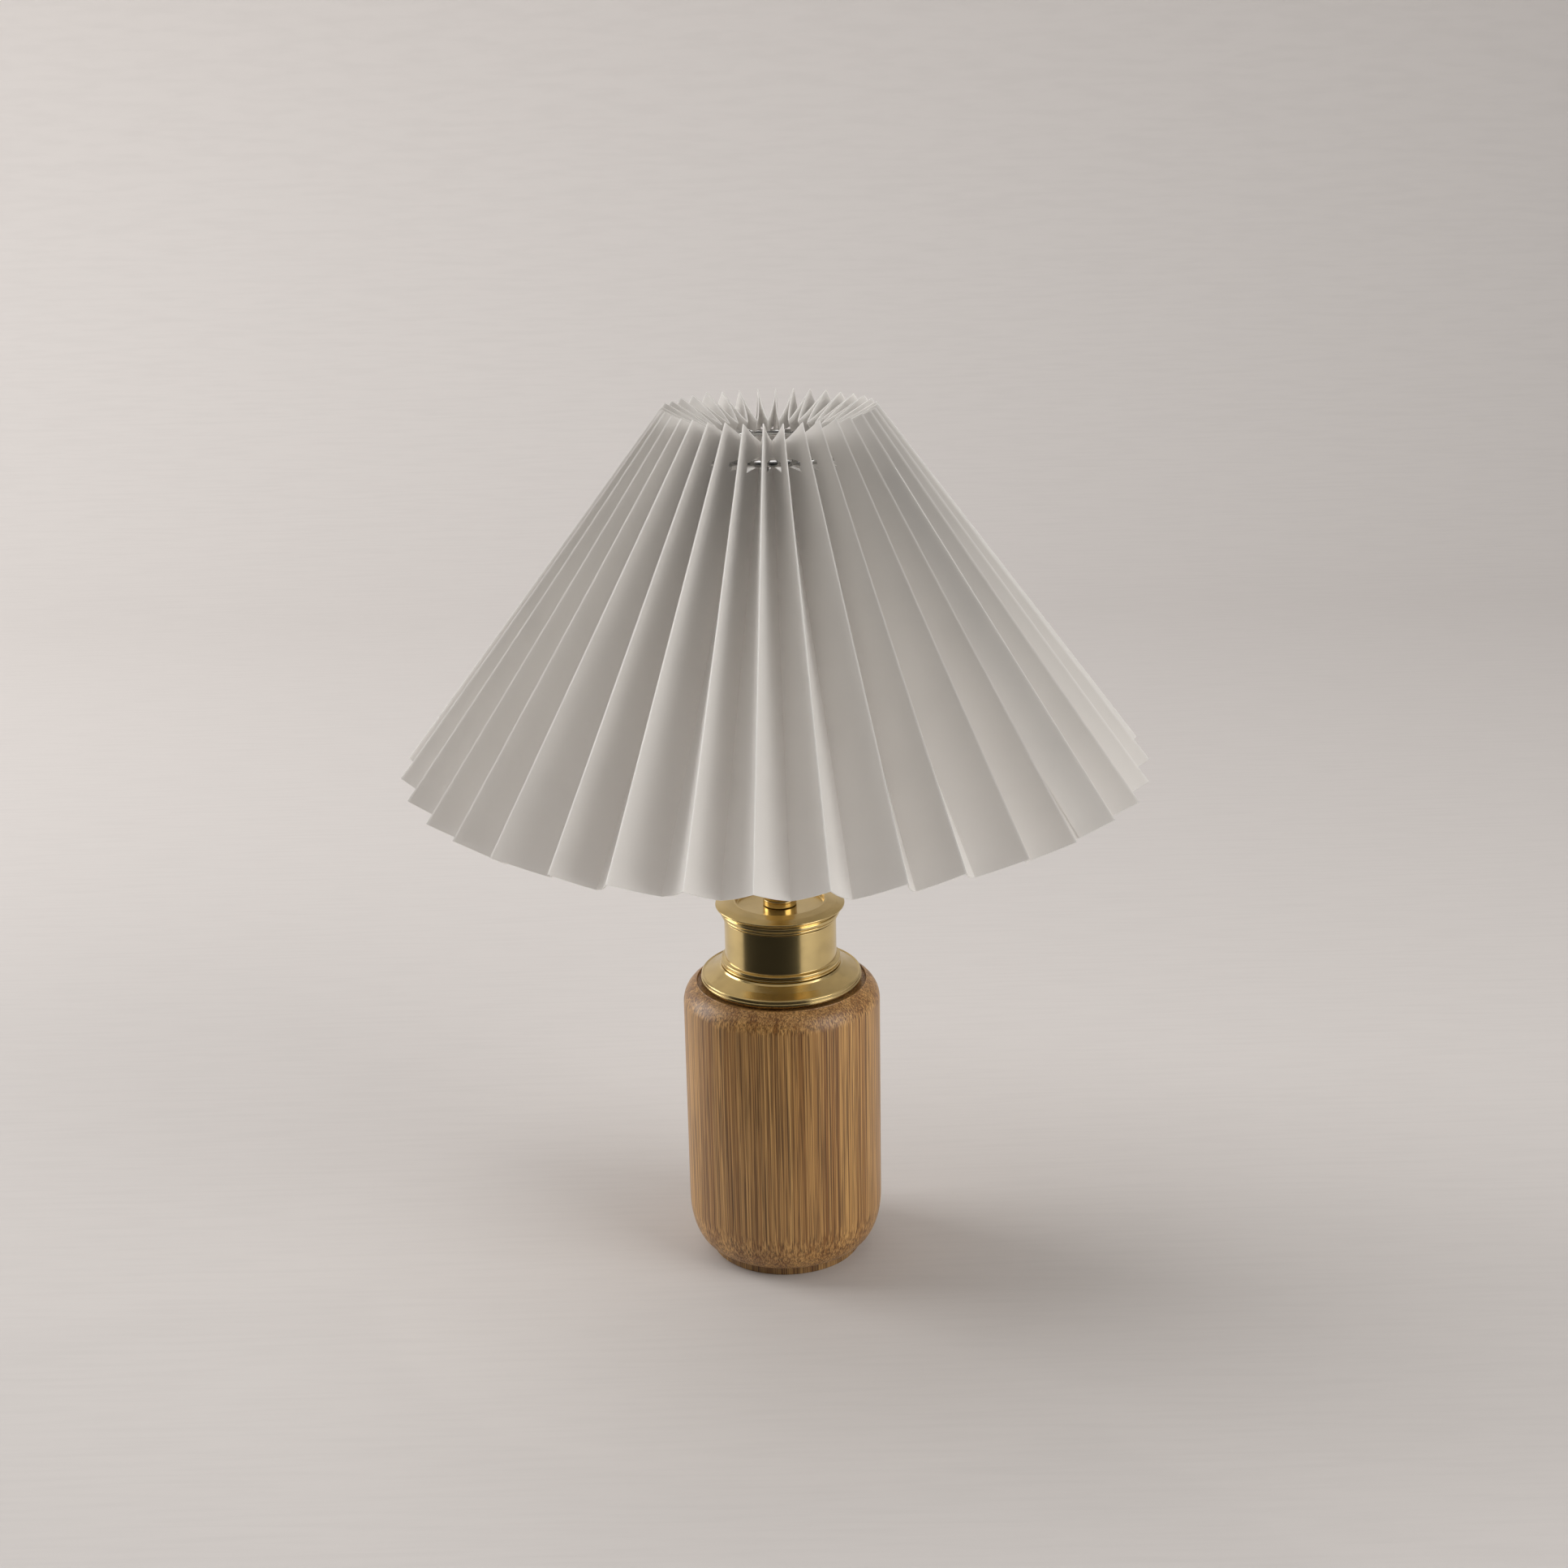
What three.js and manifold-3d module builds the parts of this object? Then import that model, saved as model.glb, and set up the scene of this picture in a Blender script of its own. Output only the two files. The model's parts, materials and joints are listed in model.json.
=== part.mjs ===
// Table lamp: a turned bamboo body with brass fittings, an E27 lamp holder and a pleated shade.
// Millimetres, +Z up. The origin is the centre of the foot's underside, and the front is -Y.
import * as THREE from 'three';
import { mergeVertices } from 'three/addons/utils/BufferGeometryUtils.js';
import Module from 'manifold-3d';

const wasm = await Module();
wasm.setup();

// ---------------------------------------------------------------- driving dimensions

const GAP = 0.3;            // clearance between pieces that touch
const TURNED_SIDES = 36;    // sides of the larger turned pieces
const SMALL_SIDES = 20;     // sides of the smaller turned pieces

const foot = { radius: 35, height: 3.8, edge: 0.5 };

const body = {
  radius: 45, height: 132, shoulder: 11, baseRise: 22,
  recessPlay: 1.9, recessDepth: 1.7,
  cavityRadius: 16, cavityDepth: 48,
};

const gland = { height: 22, shank: 4.7, flange: 7.5, thickness: 2.4, seat: 1.6, bore: 3.3 };

const tube = { radius: 5, bore: 3.5, tail: 2, head: 5 };
const washer = { radius: 12, thickness: 1.5 };
const nut = { acrossFlats: 14, height: 5 };

const neck = { radius: 25.4, height: 21.8, beadStep: 1.9, wall: 1.2, spigot: 4 };
const flange = { width: 11.3, rim: 2.6, coneStep: 0.7, coneRise: 3.6, height: 7.7, wall: 1.5 };
const dish = { overhang: 3.9, height: 8.2, beadStep: 1.8, crestWidth: 9, tray: 2.6, floor: 1.5 };
const collar = { radius: 7.6, height: 3 };
const stem = { height: 64, wall: 1.2 };

const cap = { radius: 19.8, height: 24, wall: 1.4 };
const skirt = { height: 30, wall: 1.6, ledgeWidth: 3.7, ledgeHeight: 3, ledgeLift: 2.4 };
const insert = { height: 10, lift: 17, wireHole: 2.5 };
const socket = { clearance: 0.5, wall: 1, height: 24, floor: 1 };
const tongue = { radius: 4, height: 1.4 };

const bulb = {
  globe: 30, length: 104, glass: 1, neckStep: 1.1, capRadius: 13.1, capHeight: 22.5, capWall: 0.8,
  threadTurns: 4, threadDepth: 0.9, tip: 4.6, tipHeight: 1.4, insulator: 2.4,
};

const ringNut = { width: 5.5, grip: 0.5, ridges: 24, height: 5 };

const carrier = { rise: 110.2, wire: 1.5, arms: 3, armPlay: 5, hubMargin: 5.4, hubThickness: 2 };

/** The shade's folds end at these radii, and at these lifts above the carrier's ring. */
const shade = {
  pleats: 36, sheet: 0.5, phase: -93.4, rows: 4,
  ridgeTop: { r: 45.6, lift: 18 }, ridgeBottom: { r: 165, lift: -139.5 },
  valleyTop: { r: 26, lift: 7.1 }, valleyBottom: { r: 148, lift: -149.5 },
  slotHeight: 4.4, slotPlay: 7,
  threadRadius: 0.3, threadRise: 0.77,
};

// ---------------------------------------------------------------- radii that fit each other

const neckBead = neck.radius + neck.beadStep;
const flangeRadius = neck.radius + flange.width;
const coneTop = neckBead + flange.coneStep;
const recessRadius = flangeRadius + body.recessPlay;
const dishRadius = neck.radius + dish.overhang;
const dishBead = neck.radius + dish.beadStep;
const crestRadius = dishRadius - dish.crestWidth;

const ledgeRadius = cap.radius + skirt.ledgeWidth;
const socketBore = bulb.capRadius + socket.clearance;
const bulbNeck = bulb.capRadius + bulb.neckStep;
const ringNutRadius = cap.radius + GAP + ringNut.width;
const hubRadius = ringNutRadius + carrier.hubMargin;
const armRadius = bulb.globe + carrier.armPlay;
const ringRadius = armRadius + carrier.wire;
const slotReach = ringRadius + carrier.wire + shade.slotPlay;

const clearBore = tube.radius + GAP;
const spigotOuter = neck.radius - neck.wall - GAP;
const spigotInner = spigotOuter - neck.wall;

// ---------------------------------------------------------------- levels up the lamp

const bodyBase = foot.height + GAP;
const bodyTop = bodyBase + body.height;
const recessFloor = bodyTop - body.recessDepth;
const cavityTop = bodyBase + body.cavityDepth;

const washerBase = cavityTop - GAP - washer.thickness;
const nutBase = washerBase - GAP - nut.height;
const tubeBase = nutBase - tube.tail;

const flangeBase = recessFloor + GAP;
const flangeTop = flangeBase + flange.height;
const neckBase = flangeTop + GAP;
const neckTop = neckBase + neck.height;
const dishBase = neckTop + GAP;
const dishTop = dishBase + dish.height;
const trayFloor = dishTop - dish.tray;
const collarBase = trayFloor + GAP;
const stemBase = collarBase + collar.height + GAP;
const stemTop = stemBase + stem.height;

const capBase = stemTop + GAP;
const capTop = capBase + cap.height;
const skirtBase = capTop + GAP;
const skirtTop = skirtBase + skirt.height;
const ledgeBase = skirtBase + skirt.ledgeLift;
const ledgeTop = ledgeBase + skirt.ledgeHeight;
const tubeTop = capBase + cap.wall + tube.head;

const insertBase = capBase + insert.lift;
const insertTop = insertBase + insert.height;
const socketBase = insertTop + GAP;
const tongueBase = socketBase;
const tongueTop = tongueBase + tongue.height;

const tipBase = tongueTop + GAP;
const insulatorBase = tipBase + bulb.tipHeight + GAP;
const bulbCapBase = insulatorBase + bulb.insulator + GAP;
const bulbCapTop = bulbCapBase + bulb.capHeight;
const bulbTop = tipBase + bulb.length;

const hubBase = ledgeTop + GAP;
const hubTop = hubBase + carrier.hubThickness;
const ringNutBase = hubTop + GAP;
const ringHeight = hubBase + carrier.rise;
const slotTop = ringHeight + carrier.wire + GAP;

// ---------------------------------------------------------------- materials

function material(color, roughness, metalness = 0) {
  return new THREE.MeshStandardMaterial({ color, roughness, metalness });
}

const bamboo = material(0xa8845c, 0.5);
const darkBamboo = material(0x6e4a2c, 0.6);
const brass = material(0xb2924e, 0.28, 1);
const steel = material(0x8b8a88, 0.3, 1);
const pleatedSheet = material(0xb9b2ab, 0.8);
const nylon = material(0xcfc8c0, 0.5);
const glazedCeramic = material(0xe6e2da, 0.35);
const opalGlass = material(0xf2f0ea, 0.3);
const blackGlass = material(0x17161a, 0.3);
const blackPlastic = material(0x1d1c1b, 0.5);

// ---------------------------------------------------------------- geometry helpers

/** Points [r, z] on an elliptical arc about (cr, cz), from one angle to another in degrees. */
function arc(cr, cz, rr, rz, from, to, steps) {
  const points = [];
  for (let i = 0; i <= steps; i += 1) {
    const angle = THREE.MathUtils.degToRad(from + ((to - from) * i) / steps);
    points.push([cr + rr * Math.cos(angle), cz + rz * Math.sin(angle)]);
  }
  return points;
}

/** A body of revolution about +Z. The outline of [r, z] runs counter-clockwise, outer side upwards. */
function turned(outline, sides, closed = true) {
  const points = outline.map(([r, z]) => new THREE.Vector2(r, z));
  if (closed) points.push(points[0].clone());
  return new THREE.LatheGeometry(points, sides).rotateX(Math.PI / 2);
}

/** A ring with a rectangular section. */
function tubeRing(inner, outer, low, high, sides) {
  return turned([[inner, low], [outer, low], [outer, high], [inner, high]], sides);
}

/** A ring of round wire lying flat at one height. */
function wireRing(radius, height, wireRadius, wireSides, ringSides) {
  const section = arc(radius, height, wireRadius, wireRadius, 0, 360, wireSides).slice(0, -1);
  return turned(section, ringSides);
}

/** A solid for joining and cutting, from a closed geometry. */
function toSolid(geometry) {
  const plain = geometry.index ? geometry.clone() : geometry;
  plain.deleteAttribute('normal');
  plain.deleteAttribute('uv');
  const merged = mergeVertices(plain, 1e-5);
  const corners = merged.index.array;
  const triangles = [];
  for (let i = 0; i < corners.length; i += 3) {
    const [a, b, c] = corners.slice(i, i + 3);
    if (a !== b && b !== c && c !== a) triangles.push(a, b, c);
  }
  return new wasm.Manifold(new wasm.Mesh({
    numProp: 3,
    vertProperties: merged.attributes.position.array,
    triVerts: new Uint32Array(triangles),
  }));
}

function toGeometry(solid) {
  const mesh = solid.getMesh();
  const geometry = new THREE.BufferGeometry();
  geometry.setAttribute('position', new THREE.BufferAttribute(new Float32Array(mesh.vertProperties), 3));
  geometry.setIndex(new THREE.BufferAttribute(new Uint32Array(mesh.triVerts), 1));
  geometry.computeVertexNormals();
  return geometry;
}

function cut(geometry, ...cutters) {
  return toGeometry(cutters.reduce((solid, cutter) => solid.subtract(toSolid(cutter)), toSolid(geometry)));
}

function join(...pieces) {
  return toGeometry(pieces.map(toSolid).reduce((whole, piece) => whole.add(piece)));
}

/** A round bar along Y, between two depths, at one height. */
function barAlongY(radius, from, to, height, sides) {
  const bar = new THREE.CylinderGeometry(radius, radius, to - from, sides);
  return bar.translate(0, (from + to) / 2, height);
}

// ---------------------------------------------------------------- wooden base

function footDisc() {
  const { radius, height, edge } = foot;
  return turned([
    [0, 0], [radius - edge, 0], [radius, edge], [radius, height - edge], [radius - edge, height], [0, height],
  ], TURNED_SIDES, false);
}

function bambooBody() {
  const { radius, shoulder, baseRise, cavityRadius } = body;
  const underside = arc(foot.radius, bodyBase + baseRise, radius - foot.radius, baseRise, -90, 0, 5);
  const recessAngle = THREE.MathUtils.radToDeg(Math.acos((recessRadius - (radius - shoulder)) / shoulder));
  const top = arc(radius - shoulder, bodyTop - shoulder, shoulder, shoulder, 0, recessAngle, 4);
  const blank = turned([
    [cavityRadius, bodyBase], ...underside, ...top,
    [recessRadius, recessFloor], [clearBore, recessFloor], [clearBore, cavityTop], [cavityRadius, cavityTop],
  ], TURNED_SIDES);
  const centre = bodyBase + gland.height;
  const inletHole = barAlongY(gland.shank + GAP, cavityRadius / 2, radius + 5, centre, 20);
  const inletSeat = barAlongY(gland.flange + GAP, radius - gland.seat, radius + 5, centre, 24);
  return cut(blank, inletHole, inletSeat);
}

/** The inlet bush that a supply cord would pass through, at the back of the body. */
function cordGland() {
  const seatFace = body.radius - gland.seat + GAP;
  const outline = [
    [gland.bore, 0], [gland.flange - 0.6, 0], [gland.flange, 0.6], [gland.flange, gland.thickness],
    [gland.shank, gland.thickness], [gland.shank, seatFace + gland.thickness - body.cavityRadius],
    [gland.bore, seatFace + gland.thickness - body.cavityRadius],
  ];
  const bush = turned(outline, 24);
  bush.rotateX(Math.PI / 2);
  return bush.translate(0, seatFace + gland.thickness, bodyBase + gland.height);
}

function tubeWasher() {
  return tubeRing(clearBore, washer.radius, washerBase, washerBase + washer.thickness, SMALL_SIDES);
}

function hexNut() {
  const corner = nut.acrossFlats / 2 / Math.cos(Math.PI / 6);
  const blank = new THREE.CylinderGeometry(corner, corner, nut.height, 6).rotateX(Math.PI / 2);
  blank.translate(0, 0, nutBase + nut.height / 2);
  const hole = new THREE.CylinderGeometry(clearBore, clearBore, nut.height * 2, 24).rotateX(Math.PI / 2);
  return cut(blank, hole.translate(0, 0, nutBase + nut.height / 2));
}

function threadedTube() {
  return tubeRing(tube.bore, tube.radius, tubeBase, tubeTop, 24);
}

// ---------------------------------------------------------------- brass fittings

function baseFlange() {
  const { rim, coneRise, wall } = flange;
  const radius = flangeRadius;
  const coneBase = flangeTop - 0.8 - coneRise;
  const rimTop = flangeBase + rim;
  return turned([
    [radius - 2.2, flangeBase], [radius - 0.5, flangeBase], [radius, flangeBase + 0.5],
    ...arc(radius - 1, rimTop, 1, 1, 0, 90, 2), [radius - 1.5, coneBase],
    [(radius + coneTop) / 2 - 0.8, coneBase + coneRise * 0.46], [coneTop, coneBase + coneRise],
    [coneTop - 0.6, flangeTop], [spigotOuter, flangeTop],
    [spigotOuter, flangeTop + neck.spigot], [spigotInner, flangeTop + neck.spigot],
    [spigotInner, flangeTop - wall - 0.8],
    [radius - 2.2, flangeBase + 1.8],
  ], TURNED_SIDES);
}

function neckSleeve() {
  const { radius, wall } = neck;
  const beadLow = neckBase + 1.4;
  return turned([
    [radius - wall, neckBase], [neckBead - 0.4, neckBase], [neckBead, neckBase + 0.6],
    [neckBead - 0.5, neckBase + 1.1], ...arc(neckBead - 0.9, beadLow + 0.8, 0.9, 0.8, -30, 90, 3),
    [radius, beadLow + 1.9], [radius, neckTop], [radius - wall, neckTop],
  ], TURNED_SIDES);
}

function topDish() {
  const { floor } = dish;
  const rimHeight = dishTop - 2.1;
  return turned([
    [spigotInner, dishBase - neck.spigot], [spigotOuter, dishBase - neck.spigot], [spigotOuter, dishBase],
    [neck.radius, dishBase],
    ...arc(neck.radius, dishBase + 0.9, dish.beadStep - 1, 0.8, -60, 70, 2),
    ...arc(neck.radius + 0.4, dishBase + 2.9, dish.beadStep - 0.4, 1, -60, 70, 2),
    [neck.radius + 1.1, dishBase + 4.1], [dishRadius - 1.7, dishBase + 5.1], [dishRadius, rimHeight],
    ...arc(crestRadius, rimHeight + 0.3, dish.crestWidth - 0.4, 1.8, 20, 90, 3),
    [crestRadius - 0.3, dishTop - 0.3], [crestRadius - 0.3, trayFloor], [clearBore, trayFloor],
    [clearBore, trayFloor - floor], [spigotInner, trayFloor - floor],
  ], TURNED_SIDES);
}

function collarNut() {
  const { radius, height } = collar;
  return turned([
    [clearBore, collarBase], [radius, collarBase], [radius, collarBase + height - 0.3],
    [radius - 0.3, collarBase + height], [clearBore, collarBase + height],
  ], SMALL_SIDES);
}

function stemTube() {
  return tubeRing(collar.radius - stem.wall, collar.radius, stemBase, stemTop, SMALL_SIDES);
}

// ---------------------------------------------------------------- lamp holder

function holderCap() {
  const { radius, wall } = cap;
  const throat = collar.radius + 0.6;
  const dome = arc(throat, capTop - 6, radius - throat, cap.height - 9, -90, 0, 4);
  const inside = arc(throat, capTop - 6, radius - throat - wall, cap.height - 9 - wall, 0, -90, 4);
  return turned([
    [clearBore, capBase], [throat, capBase], ...dome, [radius, capTop], [radius - wall, capTop],
    ...inside, [clearBore, capTop - 6 - (cap.height - 9 - wall)],
  ], SMALL_SIDES);
}

/** The threaded skirt, with the ledge that the shade carrier rests on. */
function holderSkirt() {
  const outer = cap.radius;
  const inner = outer - skirt.wall;
  return turned([
    [inner, skirtBase], [outer, skirtBase], [outer, ledgeBase], [ledgeRadius, ledgeBase],
    [ledgeRadius, ledgeTop], [outer, ledgeTop], [outer, skirtTop - 0.8], [outer - 0.8, skirtTop],
    [inner, skirtTop],
  ], SMALL_SIDES);
}

function holderInsert() {
  const radius = cap.radius - Math.max(cap.wall, skirt.wall) - GAP;
  return tubeRing(insert.wireHole, radius, insertBase, insertTop, SMALL_SIDES);
}

/** The screw shell that takes the bulb's cap: a cup with a hole in its floor for the contact. */
function holderShell() {
  const { wall, height, floor } = socket;
  const outer = socketBore + wall;
  const hole = tongue.radius + 2;
  return turned([
    [hole, socketBase], [outer, socketBase], [outer, socketBase + height], [socketBore, socketBase + height],
    [socketBore, socketBase + floor], [hole, socketBase + floor],
  ], SMALL_SIDES);
}

function holderContact() {
  return turned([
    [0, tongueBase], [tongue.radius, tongueBase], [tongue.radius, tongueBase + 0.8],
    [tongue.radius - 1.2, tongueTop], [0, tongueTop],
  ], 20, false);
}

/** The knurled ring nut that clamps the shade carrier on the skirt. */
function retainingRing() {
  const { grip, ridges, height } = ringNut;
  const outline = new THREE.Shape();
  const steps = ridges * 2;
  for (let i = 0; i < steps; i += 1) {
    const angle = (i / steps) * Math.PI * 2;
    const r = i % 2 ? ringNutRadius - grip : ringNutRadius;
    if (i === 0) outline.moveTo(r * Math.cos(angle), r * Math.sin(angle));
    else outline.lineTo(r * Math.cos(angle), r * Math.sin(angle));
  }
  outline.closePath();
  const hole = new THREE.Path().absarc(0, 0, cap.radius + GAP, 0, Math.PI * 2, true);
  outline.holes.push(hole);
  const ring = new THREE.ExtrudeGeometry(outline, { depth: height, bevelEnabled: false, curveSegments: 20 });
  return ring.translate(0, 0, ringNutBase);
}

// ---------------------------------------------------------------- bulb

function bulbContact() {
  return turned([
    [0, tipBase], [bulb.tip - 1.6, tipBase], [bulb.tip, tipBase + 0.7], [bulb.tip, tipBase + bulb.tipHeight],
    [0, tipBase + bulb.tipHeight],
  ], 20, false);
}

function bulbInsulator() {
  const top = insulatorBase + bulb.insulator;
  return turned([
    [0, insulatorBase], [bulb.tip + 1, insulatorBase], [bulb.capRadius - 3, top], [0, top],
  ], 24, false);
}

/** The screw cap, with its rolled thread as plain rings. */
function bulbCap() {
  const { capRadius, capWall, threadTurns, threadDepth, capHeight } = bulb;
  const pitch = (capHeight - 6) / threadTurns;
  const inner = capRadius - threadDepth - capWall;
  const thread = [];
  for (let turn = 0; turn < threadTurns; turn += 1) {
    const low = bulbCapBase + 1.5 + turn * pitch;
    thread.push([capRadius - threadDepth, low], [capRadius, low + pitch * 0.35], [capRadius, low + pitch * 0.6]);
  }
  return turned([
    [inner, bulbCapBase], [capRadius - 3, bulbCapBase], ...thread,
    [capRadius - threadDepth, bulbCapTop - 4.5], [capRadius - threadDepth, bulbCapTop], [inner, bulbCapTop],
  ], 24);
}

/** The glass envelope: a globe that narrows to the neck in the cap, open at the cap. */
function bulbGlass() {
  const { globe, glass } = bulb;
  const centre = bulbTop - globe;
  const neckBottom = bulbCapTop + GAP;
  const neckTopZ = neckBottom + 4;
  const side = (inset) => {
    const blend = [];
    for (let i = 1; i < 4; i += 1) {
      const t = i / 4;
      const ease = t * t * (3 - 2 * t);
      blend.push([
        THREE.MathUtils.lerp(bulbNeck, globe * Math.cos(0.45), ease) - inset,
        THREE.MathUtils.lerp(neckTopZ, centre - globe * Math.sin(0.45), t),
      ]);
    }
    const start = THREE.MathUtils.radToDeg(-0.45);
    return [
      [bulbNeck - inset, neckBottom], [bulbNeck - inset, neckTopZ], ...blend,
      ...arc(0, centre, globe - inset, globe - inset, start, 90, 6).slice(0, -1), [0, bulbTop - inset],
    ];
  };
  return turned([...side(glass).reverse(), ...side(0)], SMALL_SIDES, false);
}

// ---------------------------------------------------------------- shade

/** A fold's place at one share of the way up. Skin 0 is the sheet's outer face and skin 1 its inner one. */
function foldPoint(bottom, top, skin, rise) {
  const { pleats, sheet, ridgeTop, ridgeBottom, valleyTop, valleyBottom } = shade;
  const { lerp } = THREE.MathUtils;
  const slope = Math.atan2(ridgeTop.lift - ridgeBottom.lift, ridgeBottom.r - ridgeTop.r);
  const out = { r: Math.sin(slope), z: Math.cos(slope) };
  const acrossR = lerp(ridgeBottom.r, ridgeTop.r, rise) - lerp(valleyBottom.r, valleyTop.r, rise);
  const acrossZ = lerp(ridgeBottom.lift, ridgeTop.lift, rise) - lerp(valleyBottom.lift, valleyTop.lift, rise);
  const meanRadius = lerp(ridgeBottom.r, ridgeTop.r, rise) - acrossR / 2;
  const foldAngle = Math.atan2(meanRadius * Math.sin(Math.PI / pleats), acrossR * out.r + acrossZ * out.z);
  const inset = (skin * sheet) / Math.sin(foldAngle);
  return {
    r: lerp(bottom.r, top.r, rise) - inset * out.r,
    z: ringHeight + lerp(bottom.lift, top.lift, rise) - inset * out.z,
  };
}

const ridgeAt = (skin, rise) => foldPoint(shade.ridgeBottom, shade.ridgeTop, skin, rise);
const valleyAt = (skin, rise) => foldPoint(shade.valleyBottom, shade.valleyTop, skin, rise);

/** A panel's place in 3-D: side 0 is its valley fold and side 1 its ridge fold. */
function panelPoint(skin, side, rise, valleyAngle, ridgeAngle) {
  const valley = valleyAt(skin, rise);
  const ridge = ridgeAt(skin, rise);
  const { lerp } = THREE.MathUtils;
  return [
    lerp(valley.r * Math.cos(valleyAngle), ridge.r * Math.cos(ridgeAngle), side),
    lerp(valley.r * Math.sin(valleyAngle), ridge.r * Math.sin(ridgeAngle), side),
    lerp(valley.z, ridge.z, side),
  ];
}

/** How far up a panel reaches a height, along one line between its folds. */
function riseAtHeight(skin, side, height) {
  let [low, high] = [0, 1];
  for (let step = 0; step < 40; step += 1) {
    const rise = (low + high) / 2;
    if (THREE.MathUtils.lerp(valleyAt(skin, rise).z, ridgeAt(skin, rise).z, side) < height) low = rise;
    else high = rise;
  }
  return low;
}

/**
 * The folded sheet. Each panel is ruled between its valley and its ridge, and a level slot is cut
 * through it from the valley fold part of the way out, where the carrier's ring passes.
 */
function shadePleats() {
  const { pleats, rows, slotHeight } = shade;
  const columns = pleats * 2;
  const ringValley = valleyAt(0, riseAtHeight(0, 0, slotTop)).r;
  const ringRidge = ridgeAt(0, riseAtHeight(0, 1, slotTop)).r;
  const slotSide = (slotReach - ringValley) / (ringRidge - ringValley);
  const firstAngle = THREE.MathUtils.degToRad(shade.phase);
  const positions = [];
  const faces = [];
  const places = new Map();

  const vertex = (column, skin, side, rise) => {
    const onFold = side === 0 || side === 1;
    const fold = column + (side === (column % 2 ? 1 : 0) ? 1 : 0);
    const key = [onFold ? fold % columns : column + 0.5, skin, side, rise].join();
    if (!places.has(key)) {
      const angles = [column, column + 1].map((c) => firstAngle + (c * Math.PI) / pleats);
      const [ridgeAngle, valleyAngle] = column % 2 ? angles.reverse() : angles;
      places.set(key, positions.length / 3);
      positions.push(...panelPoint(skin, side, rise, valleyAngle, ridgeAngle));
    }
    return places.get(key);
  };
  const polygon = (corners, flip) => {
    const [first, ...others] = corners;
    const loop = [first, ...(flip ? others.reverse() : others)];
    for (let i = 1; i < loop.length - 1; i += 1) faces.push(loop[0], loop[i], loop[i + 1]);
  };

  for (let column = 0; column < columns; column += 1) {
    const mirrored = column % 2 === 1;
    const point = (skin, side, rise) => vertex(column, skin, side, rise);
    const rim = (rise, flip) => polygon(
      [point(0, 0, rise), point(0, 1, rise), point(1, 1, rise), point(1, 0, rise)], flip,
    );
    const levels = [0, 1].map((skin) => [slotTop - slotHeight, slotTop].map(
      (height) => [0, slotSide].map((side) => riseAtHeight(skin, side, height)),
    ));
    for (let skin = 0; skin < 2; skin += 1) {
      const flip = mirrored === (skin === 0);
      const [[lowValley, lowEnd], [highValley, highEnd]] = levels[skin];
      const grid = Array.from({ length: rows }, (_, row) => row / rows);
      grid.slice(1).forEach((rise, row) => polygon([
        point(skin, 1, grid[row]), point(skin, 0, grid[row]), point(skin, 0, rise), point(skin, 1, rise),
      ], flip));
      const last = grid[grid.length - 1];
      const lowSlot = point(skin, slotSide, lowEnd);
      const highSlot = point(skin, slotSide, highEnd);
      polygon([lowSlot, point(skin, 1, last), point(skin, 0, last), point(skin, 0, lowValley)], flip);
      polygon([lowSlot, point(skin, 1, levels[0][0][1]), point(skin, 1, last)], flip);
      polygon([
        lowSlot, highSlot, point(skin, 1, levels[0][1][1]), point(skin, 1, levels[0][0][1]),
      ], flip);
      polygon([highSlot, point(skin, 0, highValley), point(skin, 0, 1), point(skin, 1, 1)], flip);
      polygon([highSlot, point(skin, 1, 1), point(skin, 1, levels[0][1][1])], flip);
    }
    const wall = (from, to, flip) => polygon(
      [point(0, ...from[0]), point(0, ...to[0]), point(1, ...to[1]), point(1, ...from[1])], flip,
    );
    const corner = (level, side) => [0, 1].map((skin) => [side ? slotSide : 0, levels[skin][level][side]]);
    wall(corner(0, 0), corner(0, 1), !mirrored);
    wall(corner(0, 1), corner(1, 1), !mirrored);
    wall(corner(1, 1), corner(1, 0), !mirrored);
    rim(0, mirrored);
    rim(1, !mirrored);
  }
  const geometry = new THREE.BufferGeometry();
  geometry.setAttribute('position', new THREE.Float32BufferAttribute(positions, 3));
  geometry.setIndex(faces);
  return geometry;
}

/** The thread that ties the valley folds together, just inside them. */
function spacingThread() {
  const { threadRise, threadRadius, pleats } = shade;
  const valley = valleyAt(1, threadRise);
  return wireRing(valley.r - threadRadius - GAP, valley.z, threadRadius, 4, pleats);
}

/** The carrier: a wire ring on three bent arms that rise from a flat hub around the holder. */
function shadeCarrier() {
  const { wire, arms, hubThickness } = carrier;
  const foldBack = hubRadius - wire - 0.2;
  const pieces = [
    wireRing(ringRadius, ringHeight, wire, 6, TURNED_SIDES),
    tubeRing(cap.radius + GAP, hubRadius, hubBase, hubTop, SMALL_SIDES),
  ];
  const section = new THREE.Shape().absarc(0, 0, wire, 0, Math.PI * 2);
  const route = [
    [foldBack, hubBase + hubThickness / 2], [foldBack, hubTop + ringNut.height + 2],
    [armRadius, hubTop + 30], [armRadius, ringHeight - 10], [ringRadius, ringHeight],
  ];
  for (let i = 0; i < arms; i += 1) {
    const angle = THREE.MathUtils.degToRad(shade.phase) + (i * 2 * Math.PI) / arms;
    const path = new THREE.CatmullRomCurve3(
      route.map(([r, z]) => new THREE.Vector3(r * Math.cos(angle), r * Math.sin(angle), z)),
      false, 'chordal',
    );
    pieces.push(new THREE.ExtrudeGeometry(section, { steps: 10, curveSegments: 3, extrudePath: path }));
  }
  return join(...pieces);
}

// ---------------------------------------------------------------- assembly

const lamp = new THREE.Group();

function add(group, name, geometry, finish) {
  const mesh = new THREE.Mesh(geometry, finish);
  mesh.name = name;
  group.add(mesh);
}

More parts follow.
